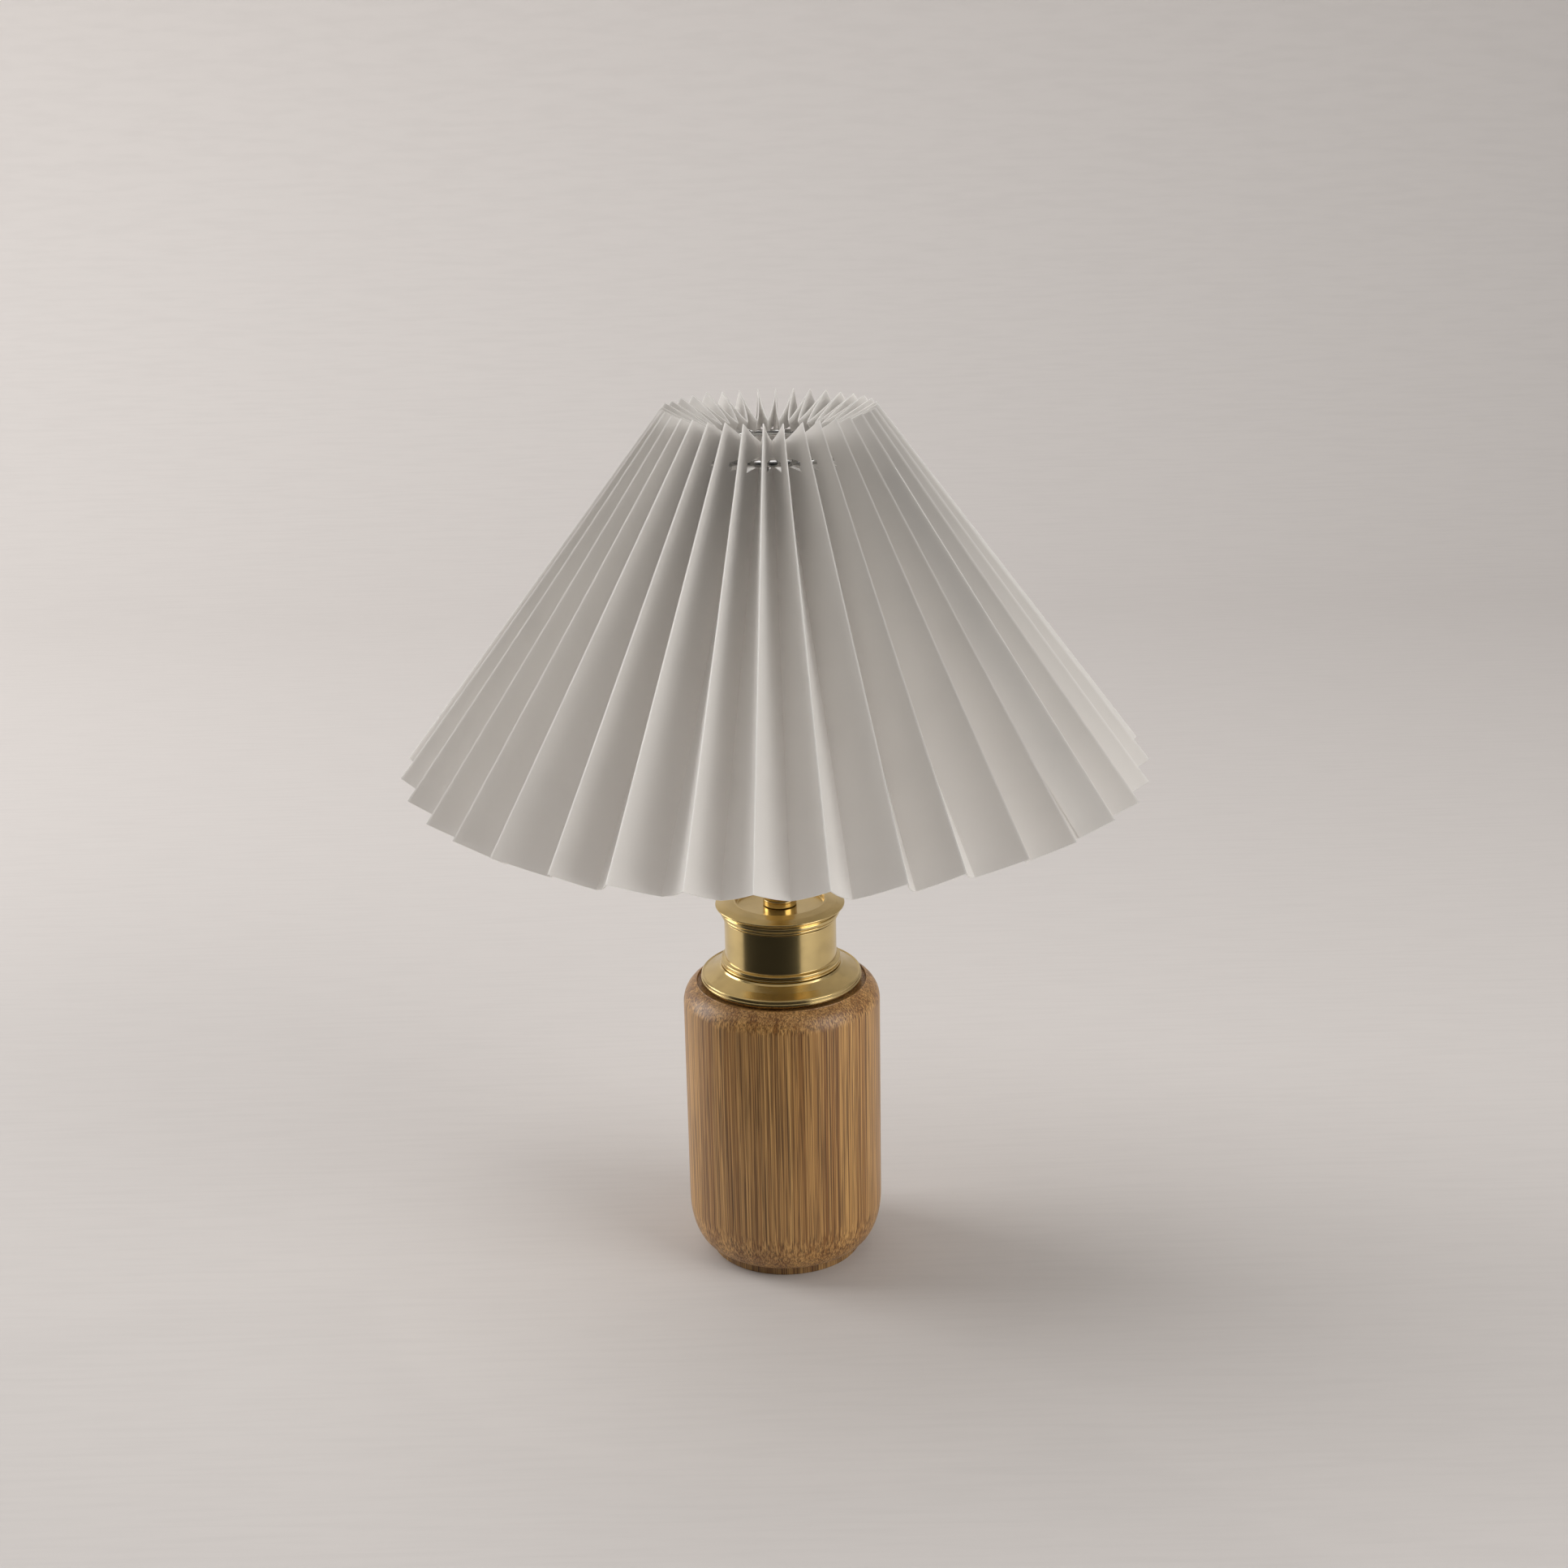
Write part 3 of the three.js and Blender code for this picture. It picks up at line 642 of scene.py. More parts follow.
class LAMP_OT_wooden_base(bpy.types.Operator):
    """Turn the bamboo body and its foot disc"""

    bl_idname = "lamp.wooden_base"
    bl_label = "Wooden base"

    def execute(self, context):
        finish = finishes()
        foot = reach_of("foot_disc")
        depth = tall_of("foot_disc")
        turn_piece("foot", "foot_disc", [
            (0, 0), (foot, 0, 0.5), (foot, depth, 0.5), (0, depth),
        ], finish["foot"], "foot_wood", closed=False)

        radius = reach_of("bamboo_body")
        height = tall_of("bamboo_body")
        shoulder = 11
        lip = reach_of("base_flange") + 1.9
        floor = height - 1.7
        curve = sweep_arc(foot, 22, radius - foot, 22, -90, 0, 14)
        top = sweep_arc(radius - shoulder, height - shoulder, shoulder, shoulder, 0, 63, 10)
        cavity, cavity_top = 9, 48
        outline = [
            (cavity, 0), *curve, *top,
            (lip + 0.3, height - 0.7, 0.3), (lip, height - 1, 0.3), (lip, floor, 0.2),
            (TUBE_HOLE, floor), (TUBE_HOLE, cavity_top), (cavity, cavity_top),
        ]
        turn_piece("body", "bamboo_body", outline, finish["bamboo"], "bamboo")
        return {"FINISHED"}


class LAMP_OT_cord_gland(bpy.types.Operator):
    """Mould the bush of the cord inlet and finish the fixings inside the body"""

    bl_idname = "lamp.cord_gland"
    bl_label = "Cord gland"

    def execute(self, context):
        finish = finishes()
        low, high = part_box("cord_gland")
        centre = (low[2] + high[2]) / 2
        flange = (high[2] - low[2]) / 2 / MM
        outer = high[1]
        length = (high[1] - low[1]) / MM
        bore, shank = 3.3, 4.7
        outline = [
            (bore, 0, 0.8), (flange, 0, 1.1), (flange, 2.4, 0.2), (shank, 2.4),
            (shank, length, 0.3), (bore, length, 0.3),
        ]
        bush = turned([(r * MM, z * MM, (e[0] if e else 0) * MM) for r, z, *e in outline], sides=64)
        bmesh.ops.rotate(bush, verts=bush.verts, matrix=Matrix.Rotation(math.radians(90), 3, "X"))
        bmesh.ops.translate(bush, verts=bush.verts, vec=(0, outer, centre))
        place("gland", bush, finish["black plastic"], "black_plastic", "cord_gland")
        for node in ("tube_washer", "tube_nut", "threaded_tube"):
            refinish(node, finish["plated"])
        return {"FINISHED"}


# ---------------------------------------------------------------- brass

class LAMP_OT_brass_fittings(bpy.types.Operator):
    """Turn the base flange, the neck sleeve, the top dish, the collar nut and the stem"""

    bl_idname = "lamp.brass_fittings"
    bl_label = "Brass fittings"

    def execute(self, context):
        brass = finishes()["brass"]
        neck = reach_of("neck_sleeve") - 1.9
        spigot = neck - BRASS_WALL - GAP

        rim = reach_of("base_flange")
        cone = neck + 2.6
        turn_piece("flange", "base_flange", [
            (rim - 2.2, 0), (rim, 0, 0.4), (rim, 1.5, 0.2), (rim - 0.35, 1.75, 0.1), (rim - 0.2, 3.0, 0.35),
            (rim - 0.9, 3.55, 0.2), (rim - 1.4, 3.25, 0.12), ((rim + cone) / 2 - 0.8, 4.95, 3),
            (cone, 6.9, 0.15), (cone - 0.5, 7.7, 0.15), (spigot, 7.7), (spigot, 11.7, 0.2),
            (spigot - BRASS_WALL, 11.7, 0.2), (spigot - BRASS_WALL, 5.4), (rim - 2.2, 1.8),
        ], brass, "brass")

        bead = reach_of("neck_sleeve")
        top = tall_of("neck_sleeve")
        turn_piece("neck", "neck_sleeve", [
            (neck - BRASS_WALL, 0), (bead - 0.2, 0, 0.2), (bead, 0.4, 0.3), (bead, 0.9, 0.3),
            (bead - 0.7, 1.15, 0.1), (bead - 0.15, 1.45, 0.35), (bead - 0.2, 2.7, 0.4),
            (neck + 0.6, 3.0, 0.1),
            (neck, 3.3, 0.25), (neck, top, 0.15), (neck - BRASS_WALL, top),
        ], brass, "brass")

        spigot_drop = 4
        wide = reach_of("top_dish")
        height = tall_of("top_dish") - spigot_drop
        crest = wide - 9
        tray = height - 2.6
        tray_floor = 1.5
        rise = [(r, z + spigot_drop, *e) for r, z, *e in [
            (spigot, -spigot_drop, 0.2), (spigot, 0), (neck, 0),
            (neck + 0.8, 0.45, 0.45), (neck + 0.8, 1.35, 0.45), (neck + 0.25, 1.75, 0.15),
            (neck + 1.7, 2.15, 0.5), (neck + 1.7, 3.5, 0.5), (neck + 1.0, 4.0, 0.3),
            (wide - 1.7, 5.1, 0.6), (wide, 5.9, 0.35), (wide, 6.5, 0.35), (wide - 3.6, 7.7, 2.5),
            (crest + 0.9, height, 1.2), (crest, height, 0.25), (crest - 0.35, height - 0.6, 0.15),
            (crest - 0.5, tray, 0.6), (TUBE_HOLE, tray), (TUBE_HOLE, tray - tray_floor),
            (spigot - BRASS_WALL, tray - tray_floor), (spigot - BRASS_WALL, -spigot_drop, 0.2),
        ]]
        turn_piece("dish", "top_dish", rise, brass, "brass")

        stem = reach_of("stem_tube")
        turn_piece("collar", "collar_nut", [
            (TUBE_HOLE, 0), (stem, 0, 0.2), (stem, 3, 0.45), (TUBE_HOLE, 3),
        ], brass, "brass", sides=96)
        length = tall_of("stem_tube")
        turn_piece("stem", "stem_tube", [
            (stem - BRASS_WALL, 0), (stem, 0, 0.4), (stem, length, 0.3), (stem - BRASS_WALL, length),
        ], brass, "brass", sides=96)
        return {"FINISHED"}


# ---------------------------------------------------------------- lamp holder

def threaded(pitch, depth, low, high):
    """A screw thread between two heights, for points on the outside of a turned piece."""
    def shaped(r, z, angle):
        if not low < z < high:
            return r, z
        fade = min(1, (z - low) / pitch, (high - z) / pitch)
        wave = 0.5 - 0.5 * math.cos(2 * math.pi * (z / pitch - angle / (2 * math.pi)))
        return r - depth * (1 - wave) * fade, z
    return shaped


def outside_only(shaped, radius):
    """The same shaping, kept to points beyond a radius in millimetres."""
    return lambda r, z, angle: shaped(r, z, angle) if r > radius * MM else (r, z)


def side_steps(r, low, high, step):
    """Evenly spaced points up a straight side."""
    count = max(2, round((high - low) / step))
    return [(r, low + (high - low) * i / count) for i in range(count + 1)]


class LAMP_OT_lamp_holder(bpy.types.Operator):
    """Make the lamp holder: cap, threaded skirt, screw shell and the knurled retaining ring"""

    bl_idname = "lamp.lamp_holder"
    bl_label = "Lamp holder"

    def execute(self, context):
        finish = finishes()
        brass = finish["brass"]
        cap = reach_of("holder_cap")
        cap_wall = 1.4
        height = tall_of("holder_cap")
        throat = reach_of("stem_tube") + 0.6
        dome = sweep_arc(throat, height - 6, cap - throat, height - 9, -90, 0, 14)
        inside = sweep_arc(throat, height - 6, cap - throat - cap_wall, height - 9 - cap_wall, 0, -90, 14)
        turn_piece("holder_cap_shell", "holder_cap", [
            (TUBE_HOLE, 0), (throat, 0, 0.3), *dome, (cap, height - 0.6, 0.3), (cap, height, 0.3),
            (cap - cap_wall, height), *inside, (TUBE_HOLE, 3 + cap_wall),
        ], brass, "brass")

        ledge = reach_of("holder_skirt")
        tall = tall_of("holder_skirt")
        base = low_of("holder_skirt")
        inner = cap - 1.6
        skirt = [
            (inner, 0), (cap, 0, 0.2), (cap, 2.4, 0.2), (ledge, 2.4, 0.5), (ledge, 5.4, 0.5), (cap, 5.4, 0.2),
            *side_steps(cap, 6.4, tall - 0.9, 0.25), (cap - 0.8, tall, 0.2), (inner, tall, 0.2),
        ]
        turns = threaded(1.8 * MM, 0.45 * MM, base + 6.5 * MM, base + (tall - 1) * MM)
        threads = outside_only(turns, cap - 0.1)
        turn_piece("holder_skirt_shell", "holder_skirt", skirt, brass, "brass", shaped=threads)

        shell = reach_of("holder_shell")
        deep = tall_of("holder_shell")
        settings = context.scene.lamp_bulb
        bottom = low_of("holder_shell")
        rolled = threaded(settings.pitch, 0.4 * MM, bottom + 3 * MM, bottom + (deep - 1) * MM)
        walls = side_steps(shell - 1, 1, deep, 0.4)[::-1]
        cup = [(6, 0, 0.3), (shell, 0, 1), *side_steps(shell, 2, deep, 0.4), *walls, (6, 1, 0.2)]
        turn_piece("holder_screw_shell", "holder_shell", cup, brass, "brass", shaped=rolled)
        refinish("holder_contact", brass)
        refinish("holder_insert", finish["ceramic"])

        outer = reach_of("retaining_ring")
        thick = tall_of("retaining_ring")
        grips = 60

        def knurled(r, z, angle):
            cut = 0.5 + 0.5 * math.cos(grips * angle)
            return (r - 0.45 * MM * cut ** 2, z) if r > (outer - 0.05) * MM else (r, z)

        turn_piece("ring_nut", "retaining_ring", [
            (cap + GAP, 0, 0.2), (outer - 0.8, 0, 0.1), (outer - 0.5, 0.4), (outer, 0.7),
            (outer, thick - 0.7),
            (outer - 0.5, thick - 0.4), (outer - 0.8, thick, 0.1), (cap + GAP, thick, 0.2),
        ], brass, "brass", sides=480, shaped=knurled)
        return {"FINISHED"}


# ---------------------------------------------------------------- bulb

class LAMP_OT_bulb(bpy.types.Operator):
    """Blow the opal globe and roll its screw cap"""

    bl_idname = "lamp.bulb"
    bl_label = "Bulb"

    def execute(self, context):
        finish = finishes()
        settings = context.scene.lamp_bulb
        tip = reach_of("bulb_contact")
        turn_piece("bulb_tip_contact", "bulb_contact", [
            (0, 0), (tip - 1.8, 0, 0.8), (tip, 0.8, 0.5), (tip, 1.4, 0.2), (0, 1.4),
        ], finish["plated"], "plated_steel", closed=False, sides=64)
        wide = reach_of("bulb_insulator")
        turn_piece("bulb_insulator_glass", "bulb_insulator", [
            (0, 0), (tip + 1, 0, 0.6), (wide, 2.4, 0.2), (0, 2.4),
        ], finish["black glass"], "black_glass", closed=False, sides=96)

        cap = reach_of("bulb_cap")
        tall = tall_of("bulb_cap")
        base = low_of("bulb_cap")
        rolled = threaded(settings.pitch, settings.depth, base + 1.2 * MM, base + (tall - 4) * MM)
        wall = cap - 1.7
        turn_piece("bulb_screw_cap", "bulb_cap", [
            (wall, 0), (cap - 3, 0, 0.3), (cap - 1, 1), *side_steps(cap - 0.02, 1.3, tall - 4.2, 0.28),
            (cap - 0.9, tall - 3.9), (cap - 0.9, tall - 0.5, 0.1), (cap - 0.7, tall, 0.1), (wall, tall),
        ], finish["plated"], "plated_steel", shaped=outside_only(rolled, cap - 0.1))

        globe = reach_of("bulb_glass")
        neck = cap + 1.1
        height = tall_of("bulb_glass")
        centre = height - globe

        def side(inset):
            join = (globe * math.cos(0.45), centre - globe * math.sin(0.45))
            blend = []
            for i in range(1, 12):
                t = i / 12
                ease = t * t * (3 - 2 * t)
                blend.append((neck + (join[0] - neck) * ease - inset, 4 + (join[1] - 4) * t))
            start = -math.degrees(0.45)
            dome = sweep_arc(0, centre, globe - inset, globe - inset, start, 90, 20)[:-1]
            return [(neck - inset, 0, 0.2), (neck - inset, 4, 2), *blend, *dome, (0, height - inset)]

        outline = [*side(0), *side(1)[::-1]]
        turn_piece("bulb_globe", "bulb_glass", outline, finish["opal"], "opal_glass", closed=False)
        return {"FINISHED"}


# ---------------------------------------------------------------- shade

class LAMP_OT_carrier(bpy.types.Operator):
    """Bend the wire carrier that holds the shade"""

    bl_idname = "lamp.carrier"
    bl_label = "Shade carrier"

    def execute(self, context):
        low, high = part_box("shade_carrier")
        wire = 1.5 * MM
        top = high[2] - wire
        ring = reach_of("shade_carrier") * MM - wire
        mesh = frame["nodes"]["shade_carrier"].data
        hub_top = low[2] + 2 * MM
        hub = max(math.hypot(v.co.x, v.co.y) for v in mesh.vertices if v.co.z < hub_top + 0.1 * MM)
        inner = (reach_of("holder_cap") + GAP) * MM
        settings = context.scene.lamp_shade
        phase = ridge_phase(settings.pleats)
        shape = turned([
            (inner, low[2], 0.0002), (hub, low[2], 0.0004), (hub, hub_top, 0.0004), (inner, hub_top, 0.0002),
        ])
        wire_into(shape, circle_route(ring, top, 160), wire, closed=True, sides=16)
        foot = hub - wire - 0.2 * MM
        arm = ring - settings.arm_flare
        route = [
            (foot, low[2] + MM), (foot, hub_top + 7 * MM), (arm, hub_top + 30 * MM), (arm, top - 10 * MM),
            (ring, top),
        ]
        for i in range(3):
            angle = phase + i * 2 * math.pi / 3
            points = [on_axis(r, angle, z) for r, z in route]
            wire_into(shape, smooth_route(points, 14), wire)
        bmesh.ops.recalc_face_normals(shape, faces=shape.faces)
        place("wire_carrier", shape, finishes()["steel"], "bright_steel", "shade_carrier")
        return {"FINISHED"}


def ridge_phase(pleats):
    """The azimuth of the shade's ridge nearest the front."""
    points = [v.co for v in frame["nodes"]["shade_pleats"].data.vertices]
    widest = max(points, key=lambda p: (round(math.hypot(p.x, p.y), 5), -p.y))
    return math.atan2(widest.y, widest.x)


def fold_ends(pleats):
    """The outer ends of the folds as (radius, height): ridge low, ridge high, valley low, valley high."""
    points = [v.co for v in frame["nodes"]["shade_pleats"].data.vertices]
    phase = ridge_phase(pleats)
    ridges, valleys = [], []
    for p in points:
        turn = (math.atan2(p.y, p.x) - phase) / (math.pi / pleats) % 2
        spot = (math.hypot(p.x, p.y), p.z)
        if min(turn, 2 - turn) < 0.02:
            ridges.append(spot)
        elif abs(turn - 1) < 0.02:
            valleys.append(spot)
    return (max(ridges), max(ridges, key=lambda s: s[1]), max(valleys), max(valleys, key=lambda s: s[1]))


class PleatedSheet:
    """The folded strip: panels ruled between ridges and valleys that wander a little, as hand folds do."""

    def __init__(self, settings, slot_top):
        self.s = settings
        self.count = settings.pleats * 2
        self.phase = ridge_phase(settings.pleats)
        self.ends = fold_ends(settings.pleats)
        self.slot_top = slot_top
        chance = random.Random(11)
        self.folds = []
        for fold in range(self.count):
            ridge_low, ridge_high, valley_low, valley_high = self.ends
            low, high = (valley_low, valley_high) if fold % 2 else (ridge_low, ridge_high)
            turn = self.phase + fold * math.pi / settings.pleats
            low_turn = turn + chance.uniform(-1, 1) * settings.wander
            high_turn = turn + chance.uniform(-0.5, 0.5) * settings.wander
            stray = chance.uniform(-1, 0.15) * settings.stray
            lift = chance.uniform(-1, 1) * 0.4 * settings.stray
            self.folds.append((
                on_axis(low[0] + stray, low_turn, low[1] + lift),
                on_axis(high[0], high_turn, high[1] - abs(lift)),
            ))

    def on_fold(self, fold, rise):
        low, high = self.folds[fold % self.count]
        return low.lerp(high, rise)

    def point(self, panel, share, rise):
        """A point of a panel: share 0 at its first fold and 1 at its next, bowed in towards the axis."""
        a, b = self.on_fold(panel, rise), self.on_fold(panel + 1, rise)
        below, beyond = max(0, rise - 0.05), min(1, rise + 0.05)
        low = self.on_fold(panel, below).lerp(self.on_fold(panel + 1, below), share)
        high = self.on_fold(panel, beyond).lerp(self.on_fold(panel + 1, beyond), share)
        spot = a.lerp(b, share)
        out = (b - a).cross(high - low).normalized()
        if out.dot(Vector((spot.x, spot.y, 0))) < 0:
            out = -out
        ridge_side = share if panel % 2 else 1 - share
        skew = math.sin(math.pi * ridge_side ** 0.8)
        return spot - out * skew * self.s.bow * (1 - 0.6 * rise)

    def rise_at(self, panel, share, height):
        """How far up a panel reaches a height."""
        low = self.on_fold(panel, 0).lerp(self.on_fold(panel + 1, 0), share).z
        high = self.on_fold(panel, 1).lerp(self.on_fold(panel + 1, 1), share).z
        return (height - low) / (high - low)

    def slot_share(self):
        """How far from the valley towards the ridge the slots are cut."""
        ridge_low, ridge_high, valley_low, valley_high = self.ends

        def radius(low, high):
            t = (self.slot_top - low[1]) / (high[1] - low[1])
            return low[0] + (high[0] - low[0]) * t

        valley, ridge = radius(valley_low, valley_high), radius(ridge_low, ridge_high)
        return (self.s.slot_reach - valley) / (ridge - valley)

    def sheet(self):
        """The sheet's middle surface, with its across and along measures stored on its points."""
        cut = self.slot_share()
        from_valley = sorted({0, 0.05, 0.14, 0.28, 0.44, 0.6, round(cut, 3), 0.86, 0.95, 0.985})
        shape = bmesh.new()
        across = shape.verts.layers.float.new("across")
        along = shape.verts.layers.float.new("along")
        columns = []
        for panel in range(self.count):
            shares = from_valley if panel % 2 else [1 - s for s in reversed([*from_valley[1:], 1])]
            for share in shares:
                towards_ridge = share if panel % 2 else 1 - share
                low = self.rise_at(panel, share, self.slot_top - self.s.slot_height)
                high = self.rise_at(panel, share, self.slot_top)
                rises = [low * i / 24 for i in range(24)] + [low, (low + high) / 2, high]
                rises += [high + (1 - high) * i / 5 for i in range(1, 6)]
                column = []
                for rise in rises:
                    vertex = shape.verts.new(self.point(panel, share, rise))
                    vertex[across] = towards_ridge
                    vertex[along] = rise
                    column.append(vertex)
                columns.append((towards_ridge, column))
        for (side_a, first), (side_b, second) in zip(columns, columns[1:] + columns[:1]):
            in_slot = max(side_a, side_b) <= cut + 0.002
            for row in range(len(first) - 1):
                if in_slot and row in (24, 25):
                    continue
                shape.faces.new((first[row], second[row], second[row + 1], first[row + 1]))
        return shape


def thicken(piece, thickness, offset=0.0):
    """Gives a sheet its thickness and leaves no modifier on it."""
    modifier = piece.modifiers.new("thickness", "SOLIDIFY")
    modifier.thickness = thickness
    modifier.offset = offset
    bpy.context.view_layer.update()
    solid = bpy.data.meshes.new_from_object(piece.evaluated_get(bpy.context.evaluated_depsgraph_get()))
    piece.modifiers.remove(modifier)
    piece.data = solid
    solid.set_sharp_from_angle(angle=math.radians(38))


class LAMP_OT_pleated_shade(bpy.types.Operator):
    """Fold the strip into the shade, glue its seam and run the spacing thread"""

    bl_idname = "lamp.pleated_shade"
    bl_label = "Pleated shade"

    def execute(self, context):
        finish = finishes()
        settings = context.scene.lamp_shade
        slot_top = high_of("shade_carrier") + 0.3 * MM
        pleats = PleatedSheet(settings, slot_top)
        shade = place("pleated_sheet", pleats.sheet(), finish["sheet"], "pleated_sheet", "shade_pleats")
        thicken(shade, settings.sheet)
        panel = round((settings.seam_turn - pleats.phase) / (math.pi / settings.pleats)) | 1
        flap = bmesh.new()
        across = flap.verts.layers.float.new("across")
        along = flap.verts.layers.float.new("along")
        shares = [0.30, 0.45, 0.6, 0.75, 0.9, 1.0]
        rises = [i / 30 for i in range(27)]
        rows = []
        for rise in rises:
            row = []
            for share in shares:
                spot = pleats.point(panel, share, rise)
                across_panel = pleats.on_fold(panel + 1, rise) - pleats.on_fold(panel, rise)
                up_fold = pleats.on_fold(panel, min(1, rise + 0.1)) - pleats.on_fold(panel, rise - 0.001)
                out = across_panel.cross(up_fold).normalized()
                if out.dot(Vector((spot.x, spot.y, 0))) < 0:
                    out = -out
                vertex = flap.verts.new(spot + out * settings.sheet * 1.05)
                vertex[across] = share
                vertex[along] = rise
                row.append(vertex)
            rows.append(row)
        for low, high in zip(rows, rows[1:]):
            for i in range(len(shares) - 1):
                flap.faces.new((low[i], low[i + 1], high[i + 1], high[i]))
        seam = place("glued_seam", flap, finish["sheet"], "pleated_sheet", "shade_pleats")
        thicken(seam, settings.sheet * 0.8)
        ridge_low, ridge_high, valley_low, valley_high = pleats.ends
        half_pitch = math.pi / settings.pleats

        def panel_width(ridge, valley):
            a, b = on_axis(ridge[0], 0, ridge[1]), on_axis(valley[0], half_pitch, valley[1])
            return (a - b).length

        width = (panel_width(ridge_low, valley_low) + panel_width(ridge_high, valley_high)) / 2

        thread = bmesh.new()
        height = (low_of("spacing_thread") + high_of("spacing_thread")) / 2
        radius = reach_of("spacing_thread") * MM - 0.3 * MM
        route = []
        for p in circle_route(radius, height, 288):
            fold = (math.atan2(p.y, p.x) - pleats.phase) / (2 * half_pitch)
            sag = 0.5 + 0.5 * math.cos(2 * math.pi * fold)
            route.append(p + Vector((0, 0, -0.5 * MM * sag)))
        wire_into(thread, route, 0.3 * MM, closed=True, sides=8)
        place("tying_thread", thread, finish["thread"], "thread", "spacing_thread")
        return {"FINISHED"}


# ---------------------------------------------------------------- stage

def ground_strip(name, section, half_width, finish):
    """A ground that runs back along Y and sweeps up behind, smooth all the way."""
    points = [(x, y, z) for y, z in section for x in (-half_width, half_width)]
    faces = [(i, i + 1, i + 3, i + 2) for i in range(0, len(points) - 2, 2)]
    data = bpy.data.meshes.new(name)
    data.from_pydata(points, [], faces)
    data.shade_smooth()
    data.materials.append(finish)
    piece = bpy.data.objects.new(name, data)
    bpy.context.scene.collection.objects.link(piece)


def dark_flag(name, path, low, high, finish, unseen):
    """A band of black cloth between two edges, each a share of the path and a height. Some rays miss it."""
    points = [(share * x, share * y, z) for share, z in (low, high) for x, y in path]
    count = len(path)
    faces = [(i, i + 1, count + i + 1, count + i) for i in range(count - 1)]
    data = bpy.data.meshes.new(name)
    data.from_pydata(points, [], faces)
    data.materials.append(finish)
    piece = bpy.data.objects.new(name, data)
    for rays in unseen:
        setattr(piece, "visible_" + rays, False)
    bpy.context.scene.collection.objects.link(piece)


def soft_light(name, place_at, aim, size, power, colour):
    """A rectangular light that looks at a point."""
    data = bpy.data.lights.new(name, "AREA")
    data.shape = "RECTANGLE"
    data.size, data.size_y = size
    data.energy = power
    data.color = colour
    light = bpy.data.objects.new(name, data)
    light.location = place_at
    light.rotation_euler = (Vector(aim) - Vector(place_at)).to_track_quat("-Z", "Y").to_euler()
    bpy.context.scene.collection.objects.link(light)


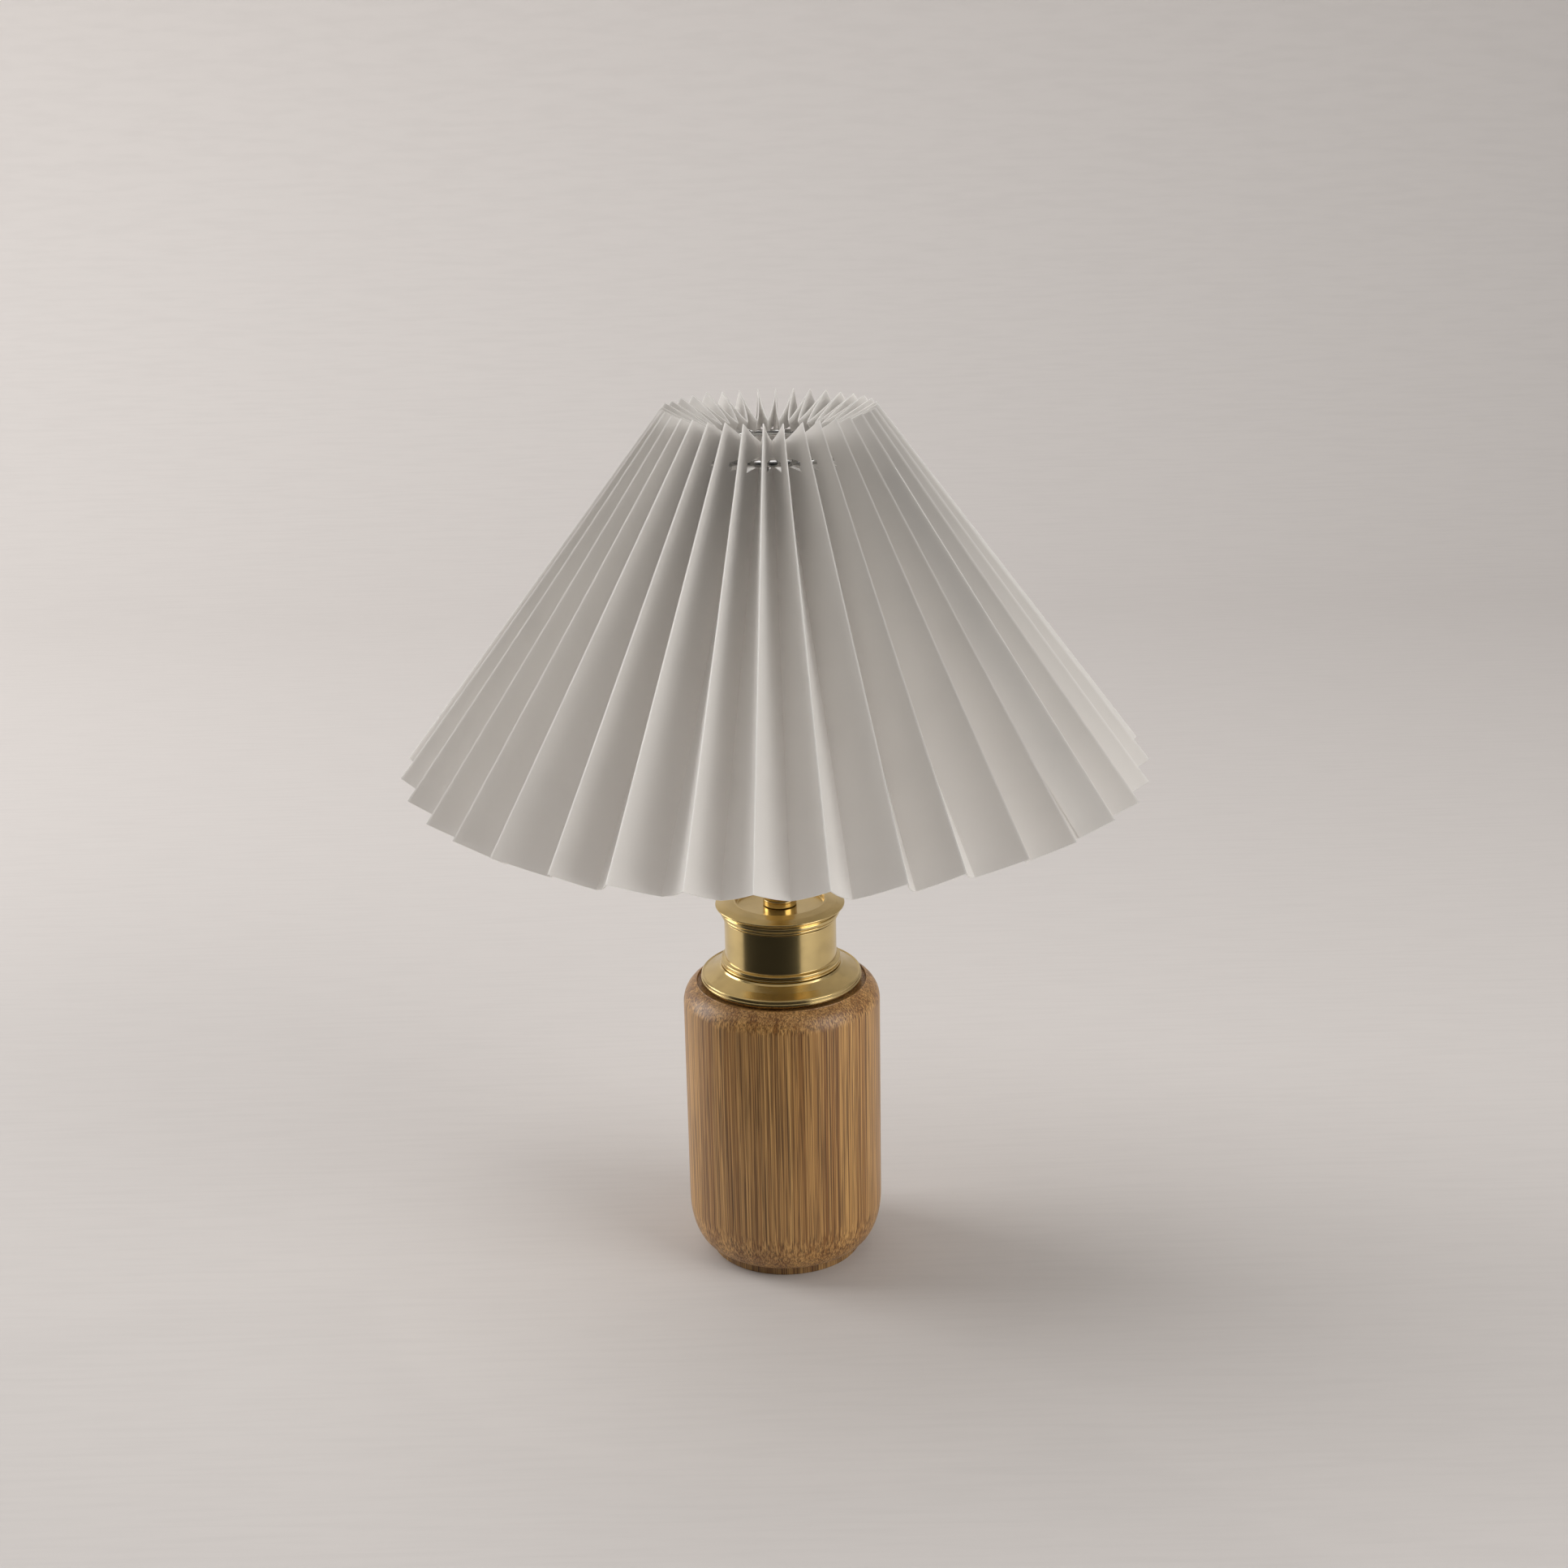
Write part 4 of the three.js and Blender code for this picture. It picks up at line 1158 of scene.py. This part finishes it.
class LAMP_OT_stage(bpy.types.Operator):
    """Set up the camera, the pale ground and the soft light"""

    bl_idname = "lamp.stage"
    bl_label = "Stage"

    def execute(self, context):
        s = context.scene.lamp_stage
        forward = Vector((
            math.sin(s.yaw) * math.cos(s.pitch), math.cos(s.yaw) * math.cos(s.pitch), -math.sin(s.pitch),
        ))
        level = Vector((math.cos(s.yaw), -math.sin(s.yaw), 0))
        upright = level.cross(forward)
        right = math.cos(s.roll) * level + math.sin(s.roll) * -upright
        up = math.sin(s.roll) * level + math.cos(s.roll) * upright
        camera = bpy.data.objects.new("camera", bpy.data.cameras.new("camera"))
        camera.data.sensor_width = 36
        camera.data.lens = s.lens
        camera.matrix_world = Matrix((right, up, -forward)).transposed().to_4x4()
        camera.location = s.eye
        context.scene.collection.objects.link(camera)
        context.scene.camera = camera

        ground = tuple(context.scene.lamp_finish.ground)
        floor_end, bend = 1.2, 0.6
        curve = sweep_arc(floor_end, bend, bend, bend, -88, 0, 16)
        sweep = [(-6.0, 0.0), (floor_end, 0.0), *curve, (floor_end + bend, 5.0)]
        ground_strip("ground", sweep, 6, plain_stage_finish("Pale ground", ground, (0.02, 0.3, 0.1)))
        reach, steps = 1.5, 24
        around = [math.radians(-170 + 119 * i / steps) for i in range(steps + 1)]
        flag = [(reach * math.cos(a), reach * math.sin(a)) for a in around]
        black = plain_stage_finish("Black cloth", (0.012, 0.012, 0.012), (0.01, 0.01, 0.01))
        unseen = ("camera", "shadow", "transmission")
        dark_flag("flag", flag, (1, 0), (1, 1.7), black, unseen)
        dark_flag("floor_flag", flag, (0.13, 0.004), (1, 0.004), black, (*unseen, "diffuse"))

        soft_light("window", (-2.0, 0.6, 1.0), (0, 0, 0.25), (1.2, 2.2), s.window, (1.0, 0.985, 0.97))
        soft_light("room", (1.35, -0.84, 0.7), (0, 0, 0.2), (1.05, 1.7), s.fill, (1.0, 0.985, 0.96))
        soft_light("ceiling", (-0.5, 0.4, 2.1), (0, 0, 0.2), (2.0, 2.0), s.ceiling, (1.0, 0.985, 0.97))
        world = context.scene.world or bpy.data.worlds.new("room light")
        context.scene.world = world
        world.use_nodes = True
        backdrop = world.node_tree.nodes["Background"]
        backdrop.inputs["Color"].default_value = (1.0, 0.968, 0.955, 1)
        backdrop.inputs["Strength"].default_value = s.sky
        context.scene.view_settings.view_transform = "Standard"
        return {"FINISHED"}


# ---------------------------------------------------------------- panel and registration

OPERATORS = (
    LAMP_OT_stage, LAMP_OT_wooden_base, LAMP_OT_cord_gland, LAMP_OT_brass_fittings, LAMP_OT_lamp_holder,
    LAMP_OT_bulb, LAMP_OT_carrier, LAMP_OT_pleated_shade,
)

SETTINGS = {
    "lamp_finish": LampFinishSettings, "lamp_shade": ShadeSettings, "lamp_bulb": BulbSettings,
    "lamp_stage": StageSettings,
}


class LAMP_PT_panel(bpy.types.Panel):
    """Settings and makers of the lamp's pieces"""

    bl_idname = "LAMP_PT_panel"
    bl_label = "Table lamp"
    bl_space_type = "VIEW_3D"
    bl_region_type = "UI"
    bl_category = "Lamp"

    def draw(self, context):
        for operator in OPERATORS:
            self.layout.operator(operator.bl_idname)
        for group in SETTINGS:
            settings = getattr(context.scene, group)
            box = self.layout.box()
            for name in settings.bl_rna.properties.keys():
                if name not in ("rna_type", "name"):
                    box.prop(settings, name)


def register():
    for group, settings in SETTINGS.items():
        bpy.utils.register_class(settings)
        setattr(bpy.types.Scene, group, PointerProperty(type=settings))
    for cls in (*OPERATORS, LAMP_PT_panel):
        bpy.utils.register_class(cls)


def unregister():
    for cls in reversed((*OPERATORS, LAMP_PT_panel)):
        bpy.utils.unregister_class(cls)
    for group, settings in SETTINGS.items():
        delattr(bpy.types.Scene, group)
        bpy.utils.unregister_class(settings)


def main():
    register()
    for operator in OPERATORS:
        group, name = operator.bl_idname.split(".")
        getattr(getattr(bpy.ops, group), name)()


if __name__ == "__main__":
    main()
